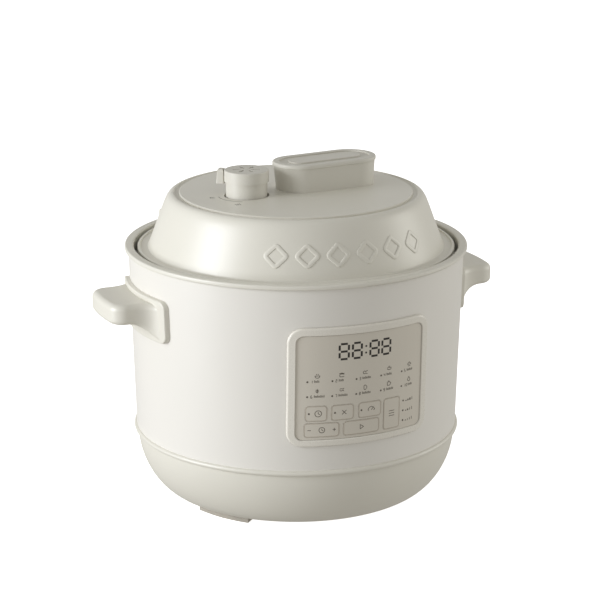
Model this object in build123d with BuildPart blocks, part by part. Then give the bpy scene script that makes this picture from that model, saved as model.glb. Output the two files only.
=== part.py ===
from build123d import *
import os
from math import cos, radians, sin, sqrt

# Electric pressure cooker, millimetres. +Z is up, the control panel faces -Y,
# and the origin is on the floor at the middle of the feet.

os.makedirs("parts", exist_ok=True)

# Clearances shared by several pieces
fit_gap = 0.05
running_gap = 0.08
slip_gap = 0.1

# Outer body
rim_radius = 145.0
collar_top = 217.5
collar_thickness = 4.1
collar_width = 7.6
collar_skirt_depth = 9.4
collar_skirt_gap = 0.28
collar_overhang = 2.94
collar_lip = 1.4
seam_height = 60.4
housing_taper = 0.0295
housing_wall = 1.0
bead_proud = 2.15
bead_height = 4.4
bead_bulge = 2.0
bowl_inset = 1.05
bowl_curve_reach = 34.0
bowl_roundness = 0.50
bowl_wall = 2.6
bowl_spigot_height = 6.5
bowl_spigot_gap = 0.35
foot_height = 4.0
foot_width = 14.0
foot_lap = 3.5
foot_angle = 28.0
foot_azimuths = (31.0, 149.0, 211.0, 329.0)

# Openings under the base
base_opening_radius = 50.0
base_screw_inset = 6.0
base_cover_lap = 5.6
base_cover_thickness = 1.2
base_cover_gap = 0.4
base_screw_radius = 1.4
base_screw_head = 1.4
base_boss_radius = 4.0
base_boss_height = 9.0
vent_circles = ((16, 8), (26, 12), (36, 16))
vent_length = 8.0
vent_width = 3.0

# Control panel
panel_half_width = 61.5
panel_bottom = 81.8
panel_top = 182.1
panel_corner = 12.0
panel_proud = 2.6
bezel_side = 6.0
bezel_foot = 5.7
bezel_head = 6.6
bezel_lap = 2.2
bezel_round = 1.5
bezel_bevel = 0.7
bezel_depth = 2.0
bezel_shadow_gap = 0.6
bezel_shadow_depth = 0.8
window_corner = 6.0
window_ledge = 1.5
plate_recess = 1.0
plate_thickness = 1.8
plate_gap = 0.25
key_gap = 0.2
key_proud = 0.15
key_lip = 1.0
key_lip_thickness = 1.3
key_lip_gap = 0.1
key_travel = 0.5
key_corner = 2.6
key_row_start = 2.5
key_row_low = 12.0
key_row_step = 1.6
key_row_high = 13.0
plunger_radius = 1.8
plunger_gap = 0.2
board_clearance = 6.7
board_thickness = 1.6
board_side = 5.5
board_margin = 2.0
board_corner = 3.0
switch_size = 6.0
switch_height = 3.5
switch_button_radius = 1.7
switch_button_height = 2.5
display_left = -26.0
display_right = 28.0
display_drop = 3.5
display_height = 21.0
display_clearance = 2.0
led_radius = 1.5
led_height = 2.5
program_columns = (-46.5, -27.0, -7.0, 15.0, 35.0)
program_drops = (38.3, 51.0)
level_column = 37.3
level_rises = (24.1, 15.6, 7.1)

# Side handles
grip_length = 31.0
grip_tip_bulge = 3.0
grip_root_depth = 17.0
grip_half_width = 32.5
grip_thickness = 17.0
grip_corner = 13.0
grip_round = 5.0
grip_under_round = 4.0
grip_straight = 14.0
grip_flare = 13.0
grip_foot_rise = 2.0
mount_plate_half_width = 49.0
mount_plate_height = 36.1
mount_plate_drop = 23.0
mount_plate_corner = 7.0
mount_plate_thickness = 4.2
mount_plate_border = 3.9
handle_screw_radius = 1.6
handle_screw_azimuth = 8.0
handle_screw_drop = 10.4
handle_screw_length = 12.0

# Pots and bayonet
tooth_count = 6
tooth_angle = 24.0
tooth_depth = 13.2
ring_thickness = 2.5
ring_gap = 0.4
ring_screw_radius = 1.5
ring_screw_head = 1.3
ring_screw_tail = 4.0
lug_reach = 5.3
lug_thickness = 2.2
lug_gap = 0.6
lug_clearance = 2.5
pot_wall = 1.5
pot_corner = 20.0
pot_flange_width = 10.0
pot_flange_gap = 0.3
pot_bottom = 68.3
outer_pot_gap = 2.0
outer_pot_wall = 1.0
outer_pot_drop = 8.3
outer_pot_shoulder_drop = 8.0

# Heater and sensor
heater_thickness = 12.2
heater_inset = 3.5
heater_hole_radius = 15.0
heater_foot_reach = 60.0
heater_foot_radius = 4.0
heater_margin = 4.0
terminal_x = 35.0
terminal_y = 32.0
terminal_radius = 5.0
terminal_height = 4.0
tab_width = 6.3
tab_thickness = 0.8
tab_length = 8.0
bracket_width = 24.0
bracket_thickness = 1.6
bracket_drop = 6.0
bracket_bolt_radius = 2.0
bracket_bolt_offset = 11.0
bracket_bolt_head = 2.5
bracket_bolt_tail = 4.0
bracket_end = 5.0
sensor_radius = 13.4
sensor_wall = 0.8
sensor_skirt = 2.0
sensor_step = 0.2
spring_radius = 9.0
spring_wire_radius = 0.5
spring_turns = 4
holder_thickness = 1.4
holder_pin_radius = 3.0
holder_pin_height = 7.0
fuse_radius = 3.0
fuse_length = 20.0
fuse_y = -42.0

# Lid
lid_gap = 3.2
lid_rim_width = 9.4
lid_cone_run = 11.8
lid_shoulder_run = 14.6
lid_skirt_drop = 4.3
lid_edge_drop = 1.2
lid_channel_depth = 1.1
lid_cone_rise = 0.8
lid_cone_height = 32.0
lid_shoulder_rise = 13.6
lid_lip_width = 2.7
lid_lip_bevel = 0.8
lid_crown = 1.4
lid_wall = 2.4
groove_width = 3.5
groove_depth = 1.5
groove_lip_drop = 0.6
groove_lip_round = 1.2
lid_azimuth = 7.0
pressure_lid_gap = 0.8
pressure_lid_sheet = 1.6
pressure_lid_rise = 7.0
pressure_lid_dome_rise = 13.0
pressure_lid_shelf_width = 19.4
pressure_lid_slope_width = 20.0
dome_crown = 2.0
seal_play = 0.6
seal_width = 8.6
seal_gap = 0.15
seal_lip = 3.0
rack_gap = 0.4
rack_width = 3.0
rack_height = 4.0
rack_wall = 1.0

# Lid handle
handle_base_centre = 28.5
handle_top_centre = 27.7
handle_base_length = 89.0
handle_base_width = 43.0
handle_top_length = 94.4
handle_top_width = 46.0
handle_body_height = 21.5
handle_cap_height = 3.6
handle_cap_overhang = 0.9
handle_cap_gap = 0.1
handle_wall = 2.6
handle_cap_round = 1.4
handle_cap_under_round = 0.6
handle_groove_depth = 1.3
handle_groove_inset = 6.0
handle_groove_width = 7.5
handle_boss_radius = 5.5
handle_rib = 2.5
handle_screw_spacing = 44.0
lid_screw_radius = 2.0
lid_screw_head = 2.5
lid_boss_radius = 6.0

# Steam release knob
knob_reach = 47.3
knob_hole_radius = 18.8
knob_clearance = 1.6
knob_cap_overhang = 1.4
knob_cap_rise = 13.1
knob_cap_height = 9.8
knob_cap_round = 0.9
knob_stem_depth = 11.6
knob_wall = 2.0
knob_tab_angle = 146.0
knob_tab_length = 6.6
knob_tab_width = 9.0
knob_tab_drop = 2.3
knob_tab_draft = 5.0
knob_petals = 6
petal_inner = 4.2
petal_outer = 11.6
petal_width = 2.1
petal_start_angle = -22.9
hub_wall = 2.2
hub_drop = 4.0
weight_gap = 0.2
pipe_radius = 4.8
pipe_bore = 1.6
pipe_rise = 0.4
pipe_nut_height = 4.0
pipe_collar_height = 2.5
well_depth = 21.6
shield_radius = 12.5
shield_depth = 6.5
shield_sheet = 0.8
shield_holes = 6
shield_hole_circle = 8.0
shield_hole_radius = 1.6

# Float valve
float_along = 26.0
float_across = 48.0
float_hole_radius = 6.2
float_hole_wall = 1.6
float_radius = 3.2
float_head_radius = 5.4
float_head_height = 4.0
float_drop = 1.4
float_rise = 4.0
float_seal_thickness = 2.0

# Power inlet
inlet_half_width = 17.0
inlet_bottom = 25.0
inlet_top = 49.0
inlet_setback = 2.5
inlet_depth = 26.0
inlet_corner = 3.0
inlet_cavity_width = 24.2
inlet_cavity_height = 16.6
inlet_cavity_depth = 17.0
inlet_gap = 0.3
pin_width = 2.0
pin_height = 4.0
pin_spacing = 7.0
pin_stagger = 2.0
pin_setback = 3.0
pin_tail = 8.0

# Power board and leads
power_board_length = 100.0
power_board_width = 70.0
power_board_bottom = 18.0
board_post_x = 44.0
board_post_y = 29.0
board_post_radius = 3.5
transformer_size = (32.0, 26.0, 22.0)
transformer_spot = (-28.0, -12.0)
relay_size = (20.0, 15.0, 16.0)
relay_spot = (8.0, -16.0)
capacitor_radius = 8.0
capacitor_height = 22.0
capacitor_spot = (34.0, -14.0)
terminal_block_size = (44.0, 9.0, 11.0)
terminal_block_y = 28.0
lead_radius = 1.4
lead_spacing = 18.0
ribbon_width = 14.0
ribbon_thickness = 0.8

# Lid switch on the rim
lock_housing_azimuth = 118.0
lock_housing_angle = 13.0
lock_housing_height = 8.8
lock_housing_inset = 0.9
lock_housing_outset = 0.4
lock_housing_corner = 2.2
lock_housing_round = 1.6
reed_radius = 1.2
reed_length = 14.0
reed_gap = 0.3
magnet_radius = 2.8
magnet_thickness = 2.0
magnet_inset = 5.7

# Levels and radii that follow from the sizes above
collar_bottom = collar_top - collar_thickness
collar_opening_radius = rim_radius - collar_width
collar_skirt_bottom = collar_bottom - collar_skirt_depth
housing_seam_radius = rim_radius - collar_overhang - housing_taper * (collar_bottom - seam_height)


def housing_radius(height):
    """Outer radius of the tapered body at a height."""
    return housing_seam_radius + housing_taper * (height - seam_height)


collar_skirt_outer_radius = housing_radius(collar_skirt_bottom) - housing_wall - collar_skirt_gap
bead_bottom = seam_height - bead_height
bead_radius = housing_seam_radius + bead_proud
bowl_top_radius = housing_seam_radius - bowl_inset
bowl_flat_radius = bowl_top_radius - bowl_curve_reach
foot_outer_radius = bowl_flat_radius + foot_lap
foot_inner_radius = foot_outer_radius - foot_width
base_screw_circle = base_opening_radius + base_screw_inset
base_cover_radius = base_screw_circle + base_cover_lap
cut_start = rim_radius - 45
cut_length = 60.0

tooth_inner_radius = collar_opening_radius - tooth_depth
lug_radius = tooth_inner_radius + lug_reach
ring_outer_radius = collar_opening_radius - ring_gap
outer_pot_step_radius = lug_radius + lug_clearance
ring_screw_circle = (outer_pot_step_radius + ring_outer_radius) / 2
pressure_lid_radius = tooth_inner_radius - pressure_lid_gap
seal_outer_radius = pressure_lid_radius - pressure_lid_sheet - seal_play
seal_inner_radius = seal_outer_radius - seal_width
pot_flange_radius = pressure_lid_radius - pressure_lid_sheet - pot_flange_gap
pot_outer_radius = pot_flange_radius - pot_flange_width
outer_pot_inner = pot_outer_radius + outer_pot_gap
outer_pot_shoulder = collar_skirt_bottom - outer_pot_shoulder_drop
outer_pot_bottom = pot_bottom - outer_pot_drop
board_front = outer_pot_inner + outer_pot_wall + board_clearance

heater_radius = pot_outer_radius - pot_corner - heater_inset
heater_top = pot_bottom - slip_gap
heater_low = heater_top - heater_thickness
outer_pot_opening_radius = heater_radius + heater_margin
bracket_bolt_reach = outer_pot_opening_radius + bracket_bolt_offset
bracket_half_length = bracket_bolt_reach + bracket_end
bracket_bottom = heater_low - bracket_drop
bracket_top = bracket_bottom + bracket_thickness
sensor_top = pot_bottom - sensor_step
sensor_bottom = heater_low - sensor_skirt

lid_edge_radius = collar_opening_radius - lid_gap
lid_cone_radius = lid_edge_radius - lid_rim_width
lid_shoulder_radius = lid_cone_radius - lid_cone_run
lid_disc_radius = lid_shoulder_radius - lid_shoulder_run
lid_edge_bottom = collar_top - lid_skirt_drop
lid_edge_top = collar_top - lid_edge_drop
lid_rim_level = lid_edge_top - lid_channel_depth
lid_cone_foot = lid_rim_level + lid_cone_rise
lid_shoulder_height = lid_cone_foot + lid_cone_height
lid_disc_height = lid_shoulder_height + lid_shoulder_rise
under_disc = lid_disc_height - lid_wall
well_bottom = lid_disc_height - well_depth
crown_top = lid_disc_height + lid_crown
pressure_lid_shelf = collar_skirt_bottom + pressure_lid_rise
pressure_lid_dome = pressure_lid_shelf + pressure_lid_dome_rise
pressure_lid_low = pressure_lid_shelf - pressure_lid_dome_rise

knob_stem_radius = knob_hole_radius - knob_clearance
knob_cap_radius = knob_stem_radius + knob_cap_overhang
knob_tab_reach = knob_cap_radius + knob_tab_length
knob_cap_bottom = lid_disc_height + knob_cap_rise
knob_cap_top = knob_cap_bottom + knob_cap_height
knob_bottom = lid_disc_height - knob_stem_depth
knob_tab_bottom = knob_cap_bottom - knob_tab_drop
pipe_top = lid_disc_height + pipe_rise
handle_split = lid_disc_height + handle_body_height
handle_top = handle_split + handle_cap_height
float_top = lid_disc_height - float_drop

mount_plate_top = collar_bottom - mount_plate_drop
mount_plate_bottom = mount_plate_top - mount_plate_height
grip_top = mount_plate_top - mount_plate_border
grip_tip_bottom = grip_top - grip_thickness
grip_reach = rim_radius + grip_length
grip_root = rim_radius - grip_root_depth
handle_screw_height = mount_plate_top - handle_screw_drop

window_half_width = panel_half_width - bezel_side
window_bottom = panel_bottom + bezel_foot
window_top = panel_top - bezel_head
plate_outside = panel_proud - plate_recess
plate_inside = plate_outside - plate_thickness
inlet_face = bowl_top_radius - inlet_setback
inlet_back = inlet_face - inlet_depth
lock_housing_inner_radius = collar_opening_radius + lock_housing_inset
lock_housing_outer_radius = rim_radius - lock_housing_outset
magnet_circle = lid_edge_radius - magnet_inset


def on_lid(along, across):
    """Place on the lid: along the handle's axis, and across it."""
    turn = radians(lid_azimuth)
    return (along * cos(turn) - across * sin(turn), along * sin(turn) + across * cos(turn))


knob_x, knob_y = on_lid(-knob_reach, 0)
float_x, float_y = on_lid(float_along, float_across)


def tube(outer, inner, low, high, mode=Mode.ADD):
    """Upright ring about the main axis."""
    with BuildSketch(Plane.XY.offset(low)) as section:
        Circle(outer)
        if inner > 0:
            Circle(inner, mode=Mode.SUBTRACT)
    extrude(section.sketch, amount=high - low, mode=mode)


def post(x, y, radius, low, high, bore=0, mode=Mode.ADD):
    """Upright round post, or a tube if it has a bore."""
    with BuildSketch(Plane.XY.offset(low)) as section:
        with Locations((x, y)):
            Circle(radius)
            if bore > 0:
                Circle(bore, mode=Mode.SUBTRACT)
    extrude(section.sketch, amount=high - low, mode=mode)


def block(x, y, width, depth, low, high, mode=Mode.ADD):
    """Upright rectangular block."""
    with BuildSketch(Plane.XY.offset(low)) as section:
        with Locations((x, y)):
            Rectangle(width, depth)
    extrude(section.sketch, amount=high - low, mode=mode)


def turned(points, mode=Mode.ADD):
    """Solid of revolution from an outline of radius and height pairs."""
    with BuildSketch(Plane.XZ) as section:
        with BuildLine():
            Polyline(*points, close=True)
        make_face()
    revolve(section.sketch, axis=Axis.Z, mode=mode)


def sector(inner, outer, centre_angle, angle, low, high, mode=Mode.ADD):
    """Piece of a ring that spans an angle about the main axis."""
    first = radians(centre_angle - angle / 2)
    last = radians(centre_angle + angle / 2)
    middle = radians(centre_angle)
    with BuildSketch(Plane.XY.offset(low)) as section:
        with BuildLine():
            ThreePointArc((outer * cos(first), outer * sin(first)),
                          (outer * cos(middle), outer * sin(middle)),
                          (outer * cos(last), outer * sin(last)))
            Line((outer * cos(last), outer * sin(last)), (inner * cos(last), inner * sin(last)))
            ThreePointArc((inner * cos(last), inner * sin(last)), (inner * cos(middle), inner * sin(middle)),
                          (inner * cos(first), inner * sin(first)))
            Line((inner * cos(first), inner * sin(first)), (outer * cos(first), outer * sin(first)))
        make_face()
    extrude(section.sketch, amount=high - low, mode=mode)


def body_skin(low, high, inside, outside, mode=Mode.INTERSECT):
    """Shell that follows the tapered body, between two offsets from its outer face."""
    turned([(housing_radius(low) + inside, low), (housing_radius(low) + outside, low),
            (housing_radius(high) + outside, high), (housing_radius(high) + inside, high)], mode)


def front_prism(left, right, low, high, corner, mode=Mode.ADD):
    """Rounded rectangle pushed through the front of the body along Y."""
    with BuildSketch(Plane.XZ.offset(cut_start)) as section:
        with Locations(((left + right) / 2, (low + high) / 2)):
            RectangleRounded(right - left, high - low, corner)
    extrude(section.sketch, amount=cut_length, mode=mode)


def curved_slab(left, right, low, high, corner, inside, outside):
    """Rounded rectangle of body skin at the front."""
    with BuildPart() as slab:
        front_prism(left, right, low, high, corner)
        body_skin(low - 2, high + 2, inside, outside)
    return slab.part


def radial_plane(angle, radius, height):
    """Plane whose normal points outward from the main axis."""
    direction = (cos(radians(angle)), sin(radians(angle)), 0)
    return Plane(origin=(radius * direction[0], radius * direction[1], height), x_dir=(0, 0, 1),
                 z_dir=direction)


handle_screw_angles = [side + turn for side in (0, 180) for turn in (-handle_screw_azimuth,
                                                                     handle_screw_azimuth)]
tooth_angles = [index * 360 / tooth_count for index in range(tooth_count)]

# Base bowl
bowl_height = bead_bottom - foot_height
cover_low = foot_height + slip_gap
cover_high = cover_low + base_cover_thickness
spigot_outer = housing_seam_radius - housing_wall - bowl_spigot_gap
spigot_inner = spigot_outer - bowl_wall
bead_middle = (bead_bottom + seam_height) / 2
inner_floor = foot_height + bowl_wall
inner_top_radius = bowl_top_radius - bowl_wall

with BuildPart() as base_bowl:
    with BuildSketch(Plane.XZ):
        with BuildLine():
            Line((base_opening_radius, foot_height), (bowl_flat_radius, foot_height))
            Bezier((bowl_flat_radius, foot_height),
                   (bowl_flat_radius + (bowl_top_radius - bowl_flat_radius) * bowl_roundness, foot_height),
                   (bowl_top_radius, bead_bottom - bowl_height * bowl_roundness),
                   (bowl_top_radius, bead_bottom))
            Line((bowl_top_radius, bead_bottom), (bead_radius - bead_bulge, bead_bottom))
            ThreePointArc((bead_radius - bead_bulge, bead_bottom), (bead_radius, bead_middle),
                          (bead_radius - bead_bulge, seam_height))
            Polyline((bead_radius - bead_bulge, seam_height), (spigot_outer, seam_height),
                     (spigot_outer, seam_height + bowl_spigot_height), (spigot_inner,
                                                                        seam_height + bowl_spigot_height),
                     (spigot_inner, bead_bottom), (inner_top_radius, bead_bottom))
            Bezier((inner_top_radius, bead_bottom),
                   (inner_top_radius, bead_bottom - bowl_height * bowl_roundness),
                   (bowl_flat_radius + (inner_top_radius - bowl_flat_radius) * bowl_roundness, inner_floor),
                   (bowl_flat_radius, inner_floor))
            Polyline((bowl_flat_radius, inner_floor), (base_opening_radius, inner_floor),
                     (base_opening_radius, foot_height))
        make_face()
    revolve(axis=Axis.Z)
    tube(base_cover_radius + base_cover_gap, 0, foot_height - 1, cover_high + slip_gap, Mode.SUBTRACT)
    for index in range(4):
        boss_x = base_screw_circle * cos(radians(90 * index))
        boss_y = base_screw_circle * sin(radians(90 * index))
        post(boss_x, boss_y, base_boss_radius, inner_floor, inner_floor + base_boss_height)
        post(boss_x, boss_y, base_screw_radius + fit_gap, foot_height, inner_floor + base_boss_height,
             mode=Mode.SUBTRACT)
    for board_x in (-board_post_x, board_post_x):
        for board_y in (-board_post_y, board_post_y):
            post(board_x, board_y, board_post_radius, inner_floor, power_board_bottom)
    block(0, inlet_face - 4, 2 * (inlet_half_width + inlet_gap), 50, inlet_bottom - inlet_gap,
          inlet_top + inlet_gap,
          Mode.SUBTRACT)
base_bowl.part.label = "base_bowl"
export_step(base_bowl.part, "parts/base_bowl.step")

# Bottom cover with vents
with BuildPart() as bottom_cover:
    tube(base_cover_radius, 0, cover_low, cover_high)
    with BuildSketch(Plane.XY.offset(cover_low)):
        for vent_circle, vent_count in vent_circles:
            with PolarLocations(vent_circle, vent_count):
                SlotOverall(vent_length, vent_width)
    extrude(amount=base_cover_thickness, mode=Mode.SUBTRACT)
    with BuildSketch(Plane.XY.offset(cover_low)):
        with PolarLocations(base_screw_circle, 4):
            Circle(base_screw_radius + fit_gap)
    extrude(amount=base_cover_thickness, mode=Mode.SUBTRACT)
bottom_cover.part.label = "bottom_cover"
export_step(bottom_cover.part, "parts/bottom_cover.step")

with BuildPart() as bottom_cover_screws:
    with BuildSketch(Plane.XY.offset(cover_low)):
        with PolarLocations(base_screw_circle, 4):
            Circle(base_screw_radius)
    extrude(amount=base_boss_height)
    with BuildSketch(Plane.XY.offset(cover_low)):
        with PolarLocations(base_screw_circle, 4):
            Circle(2 * base_screw_radius)
    extrude(amount=-base_screw_head)
bottom_cover_screws.part.label = "bottom_cover_screws"
export_step(bottom_cover_screws.part, "parts/bottom_cover_screws.step")

# Rubber feet
with BuildPart() as rubber_feet:
    for azimuth in foot_azimuths:
        sector(foot_inner_radius, foot_outer_radius, azimuth, foot_angle, 0, foot_height)
rubber_feet.part.label = "rubber_feet"
export_step(rubber_feet.part, "parts/rubber_feet.step")

# Sheet-metal housing
screw_face = housing_radius(handle_screw_height) - housing_wall
neck_half_width = panel_half_width - bezel_lap
neck_bottom = panel_bottom + bezel_lap
neck_top = panel_top - bezel_lap
neck_corner = panel_corner - bezel_lap

with BuildPart() as housing:
    body_skin(seam_height, collar_bottom, -housing_wall, 0, Mode.ADD)
    front_prism(-neck_half_width - plate_gap, neck_half_width + plate_gap, neck_bottom - plate_gap,
                neck_top + plate_gap, neck_corner, Mode.SUBTRACT)
    for angle in handle_screw_angles:
        with BuildSketch(radial_plane(angle, screw_face - 2, handle_screw_height)):
            Circle(handle_screw_radius + fit_gap)
        extrude(amount=housing_wall + 4, mode=Mode.SUBTRACT)
housing.part.label = "housing"
export_step(housing.part, "parts/housing.step")

# Control panel: bezel and plate
ledge_half_width = window_half_width - window_ledge
bezel_back = plate_inside - bezel_depth
bezel_face_edge = 0.05

with BuildPart() as bezel_cutaway:
    front_prism(-panel_half_width - 10, panel_half_width + 10, panel_bottom - 10, panel_top + 10,
                panel_corner)
    front_prism(-neck_half_width, neck_half_width, neck_bottom, neck_top, neck_corner, Mode.SUBTRACT)
    body_skin(panel_bottom - 12, panel_top + 12, bezel_back - 1, fit_gap)

with BuildPart() as bezel_shadow:
    front_prism(-panel_half_width - 10, panel_half_width + 10, panel_bottom - 10, panel_top + 10,
                panel_corner)
    front_prism(-panel_half_width + bezel_shadow_depth, panel_half_width - bezel_shadow_depth,
                panel_bottom + bezel_shadow_depth, panel_top - bezel_shadow_depth,
                panel_corner - bezel_shadow_depth, Mode.SUBTRACT)
    body_skin(panel_bottom - 12, panel_top + 12, fit_gap / 2, bezel_shadow_gap)

plate_pocket = curved_slab(-window_half_width, window_half_width, window_bottom, window_top, window_corner,
                           plate_inside, panel_proud + 1)


def bezel_face_edges(edges):
    """Edges that lie on the front face of the bezel."""
    chosen = []
    for edge in edges:
        middle = edge @ 0.5
        outward = sqrt(middle.X ** 2 + middle.Y ** 2) - housing_radius(middle.Z) - panel_proud
        if abs(outward) < bezel_face_edge:
            chosen.append(edge)
    return chosen


def is_window_edge(edge):
    """True for the inner outline of the bezel."""
    middle = edge @ 0.5
    inside_width = abs(middle.X) < window_half_width + bezel_bevel
    return inside_width and window_bottom - bezel_bevel < middle.Z < window_top + bezel_bevel


with BuildPart() as panel_bezel:
    front_prism(-panel_half_width, panel_half_width, panel_bottom, panel_top, panel_corner)
    front_prism(-ledge_half_width, ledge_half_width, window_bottom + window_ledge, window_top - window_ledge,
                window_corner - window_ledge, Mode.SUBTRACT)
    body_skin(panel_bottom - 2, panel_top + 2, bezel_back, panel_proud)
    add(bezel_cutaway.part, mode=Mode.SUBTRACT)
    add(plate_pocket, mode=Mode.SUBTRACT)
    face_edges = bezel_face_edges(panel_bezel.edges())
    fillet([edge for edge in face_edges if not is_window_edge(edge)], radius=bezel_round)
    window_edges = [edge for edge in bezel_face_edges(panel_bezel.edges()) if is_window_edge(edge)]
    chamfer(window_edges, length=bezel_bevel)
    add(bezel_shadow.part, mode=Mode.SUBTRACT)
panel_bezel.part.label = "panel_bezel"
export_step(panel_bezel.part, "parts/panel_bezel.step")

# Keys: name, left, right, bottom and top of each face.
low_row_bottom = window_bottom + key_row_start
low_row_top = low_row_bottom + key_row_low
high_row_bottom = low_row_top + key_row_step
high_row_top = high_row_bottom + key_row_high
key_faces = {
    "key_delay": (-48.0, -31.0, high_row_bottom, high_row_top),
    "key_cancel": (-27.6, -9.0, high_row_bottom, high_row_top),
    "key_pressure": (-4.8, 15.5, high_row_bottom, high_row_top),
    "key_start": (-17.5, 14.0, low_row_bottom, low_row_top),
    "key_texture": (18.0, 33.6, low_row_bottom, high_row_top),
}
rocker_face = (-48.8, -20.9, low_row_bottom, low_row_top)


def key_switch_centre(face):
    """Middle of a key, where its switch stands on the board."""
    return ((face[0] + face[1]) / 2, (face[2] + face[3]) / 2)


rocker_switch_offset = 9.0
rocker_centre = key_switch_centre(rocker_face)
switch_centres = [key_switch_centre(face) for face in key_faces.values()]
switch_centres.append((rocker_centre[0] - rocker_switch_offset, rocker_centre[1]))
switch_centres.append((rocker_centre[0] + rocker_switch_offset, rocker_centre[1]))

with BuildPart() as panel_plate:
    front_prism(-window_half_width + plate_gap, window_half_width - plate_gap, window_bottom + plate_gap,
                window_top - plate_gap, window_corner - plate_gap)
    for left, right, low, high in [*key_faces.values(), rocker_face]:
        front_prism(left - key_gap, right + key_gap, low - key_gap, high + key_gap, key_corner + key_gap,
                    Mode.SUBTRACT)
    body_skin(window_bottom - 2, window_top + 2, plate_inside, plate_outside)
panel_plate.part.label = "panel_plate"
export_step(panel_plate.part, "parts/panel_plate.step")

# Keys
lip_outside = plate_inside - key_lip_gap
lip_inside = lip_outside - key_lip_thickness
plunger_end = board_front + switch_height + switch_button_height + key_travel + plunger_gap

for key_name, face in key_faces.items():
    key_pad = curved_slab(*face, key_corner, lip_inside, plate_outside + key_proud)
    key_flange = curved_slab(face[0] - key_lip, face[1] + key_lip, face[2] - key_lip / 2,
                             face[3] + key_lip / 2,
                             key_corner, lip_inside, lip_outside)
    key_x, key_z = key_switch_centre(face)
    pad_depth = sqrt(housing_radius(key_z) ** 2 - key_x ** 2) + lip_inside
    with BuildPart() as key:
        add(key_pad)
        add(key_flange)
        with BuildSketch(Plane.XZ.offset(plunger_end)):
            with Locations((key_x, key_z)):
                Circle(plunger_radius)
        extrude(amount=pad_depth + 1 - plunger_end)
    key.part.label = key_name
    export_step(key.part, f"parts/{key_name}.step")

rocker_pad = curved_slab(*rocker_face, key_corner, lip_inside, plate_outside + key_proud)
rocker_x, rocker_z = rocker_centre
with BuildPart() as key_time:
    add(rocker_pad)
    for offset in (-rocker_switch_offset, rocker_switch_offset):
        rocker_depth = sqrt(housing_radius(rocker_z) ** 2 - (rocker_x + offset) ** 2) + lip_inside
        with BuildSketch(Plane.XZ.offset(plunger_end)):
            with Locations((rocker_x + offset, rocker_z)):
                Circle(plunger_radius)
        extrude(amount=rocker_depth + 1 - plunger_end)
key_time.part.label = "key_time"
export_step(key_time.part, "parts/key_time.step")

# Control board and what stands on it
board_back = board_front - board_thickness
display_high = window_top - display_drop
display_low = display_high - display_height
plate_back_radius = housing_radius(display_low) + plate_inside
display_depth = sqrt(plate_back_radius ** 2 - display_right ** 2) - display_clearance - board_front

with BuildPart() as control_board:
    with BuildSketch(Plane.XZ.offset(board_back)):
        with Locations((0, (window_bottom + window_top) / 2)):
            RectangleRounded(2 * (window_half_width - board_side),
                             window_top - window_bottom - 2 * board_margin,
                             board_corner)
    extrude(amount=board_thickness)
control_board.part.label = "control_board"
export_step(control_board.part, "parts/control_board.step")

with BuildPart() as display_module:
    with BuildSketch(Plane.XZ.offset(board_front)):
        with Locations(((display_left + display_right) / 2, (display_low + display_high) / 2)):
            Rectangle(display_right - display_left, display_high - display_low)
    extrude(amount=display_depth)
display_module.part.label = "display_module"
export_step(display_module.part, "parts/display_module.step")

with BuildPart() as tact_switches:
    with BuildSketch(Plane.XZ.offset(board_front)):
        with Locations(*switch_centres):
            RectangleRounded(switch_size, switch_size, 0.6)
    extrude(amount=switch_height)
    with BuildSketch(Plane.XZ.offset(board_front + switch_height)):
        with Locations(*switch_centres):
            Circle(switch_button_radius)
    extrude(amount=switch_button_height)
tact_switches.part.label = "tact_switches"
export_step(tact_switches.part, "parts/tact_switches.step")

program_rows = [window_top - drop for drop in program_drops]
level_rows = [window_bottom + rise for rise in level_rises]

with BuildPart() as indicator_leds:
    with BuildSketch(Plane.XZ.offset(board_front)):
        with Locations(*[(x, z) for x in program_columns for z in program_rows]):
            Circle(led_radius)
        with Locations(*[(level_column, z) for z in level_rows]):
            Circle(led_radius)
    extrude(amount=led_height)
indicator_leds.part.label = "indicator_leds"
export_step(indicator_leds.part, "parts/indicator_leds.step")

# Side handles
flare_end = grip_half_width + grip_flare
flare_foot = sqrt((housing_radius(grip_top) + mount_plate_thickness) ** 2 - flare_end ** 2) - 1.5
straight_start = flare_foot + 22
tip_start = grip_reach - grip_straight


def is_outer_edge(edge):
    """True for the outline of the mounting plate's outer face."""
    middle = edge @ 0.5
    outward = sqrt(middle.X ** 2 + middle.Y ** 2) - housing_radius(middle.Z) - mount_plate_thickness
    return abs(outward) < fit_gap


def is_under_edge(edge):
    """True for the long edges under the grip, from the tip back to the flare."""
    middle = edge @ 0.5
    return middle.X > flare_foot + 4 and middle.Z < grip_tip_bottom + 0.5


def grip_outline():
    """Grip seen from above: flared at the body, rounded at the tip."""
    with BuildSketch(Plane.XY.offset(mount_plate_bottom)) as plan:
        with BuildLine():
            Line((grip_root, -flare_end), (flare_foot, -flare_end))
            Bezier((flare_foot, -flare_end), (flare_foot + 4, -grip_half_width - 5),
                   (flare_foot + 9, -grip_half_width), (straight_start, -grip_half_width))
            Line((straight_start, -grip_half_width), (grip_reach - grip_tip_bulge, -grip_half_width))
            ThreePointArc((grip_reach - grip_tip_bulge, -grip_half_width), (grip_reach, 0),
                          (grip_reach - grip_tip_bulge, grip_half_width))
            Line((grip_reach - grip_tip_bulge, grip_half_width), (straight_start, grip_half_width))
            Bezier((straight_start, grip_half_width), (flare_foot + 9, grip_half_width),
                   (flare_foot + 4, grip_half_width + 5), (flare_foot, flare_end))
            Polyline((flare_foot, flare_end), (grip_root, flare_end), (grip_root, -flare_end))
        make_face()
        fillet(plan.vertices().group_by(Axis.X)[-1], radius=grip_corner)
    extrude(plan.sketch, amount=grip_top - mount_plate_bottom)


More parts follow.
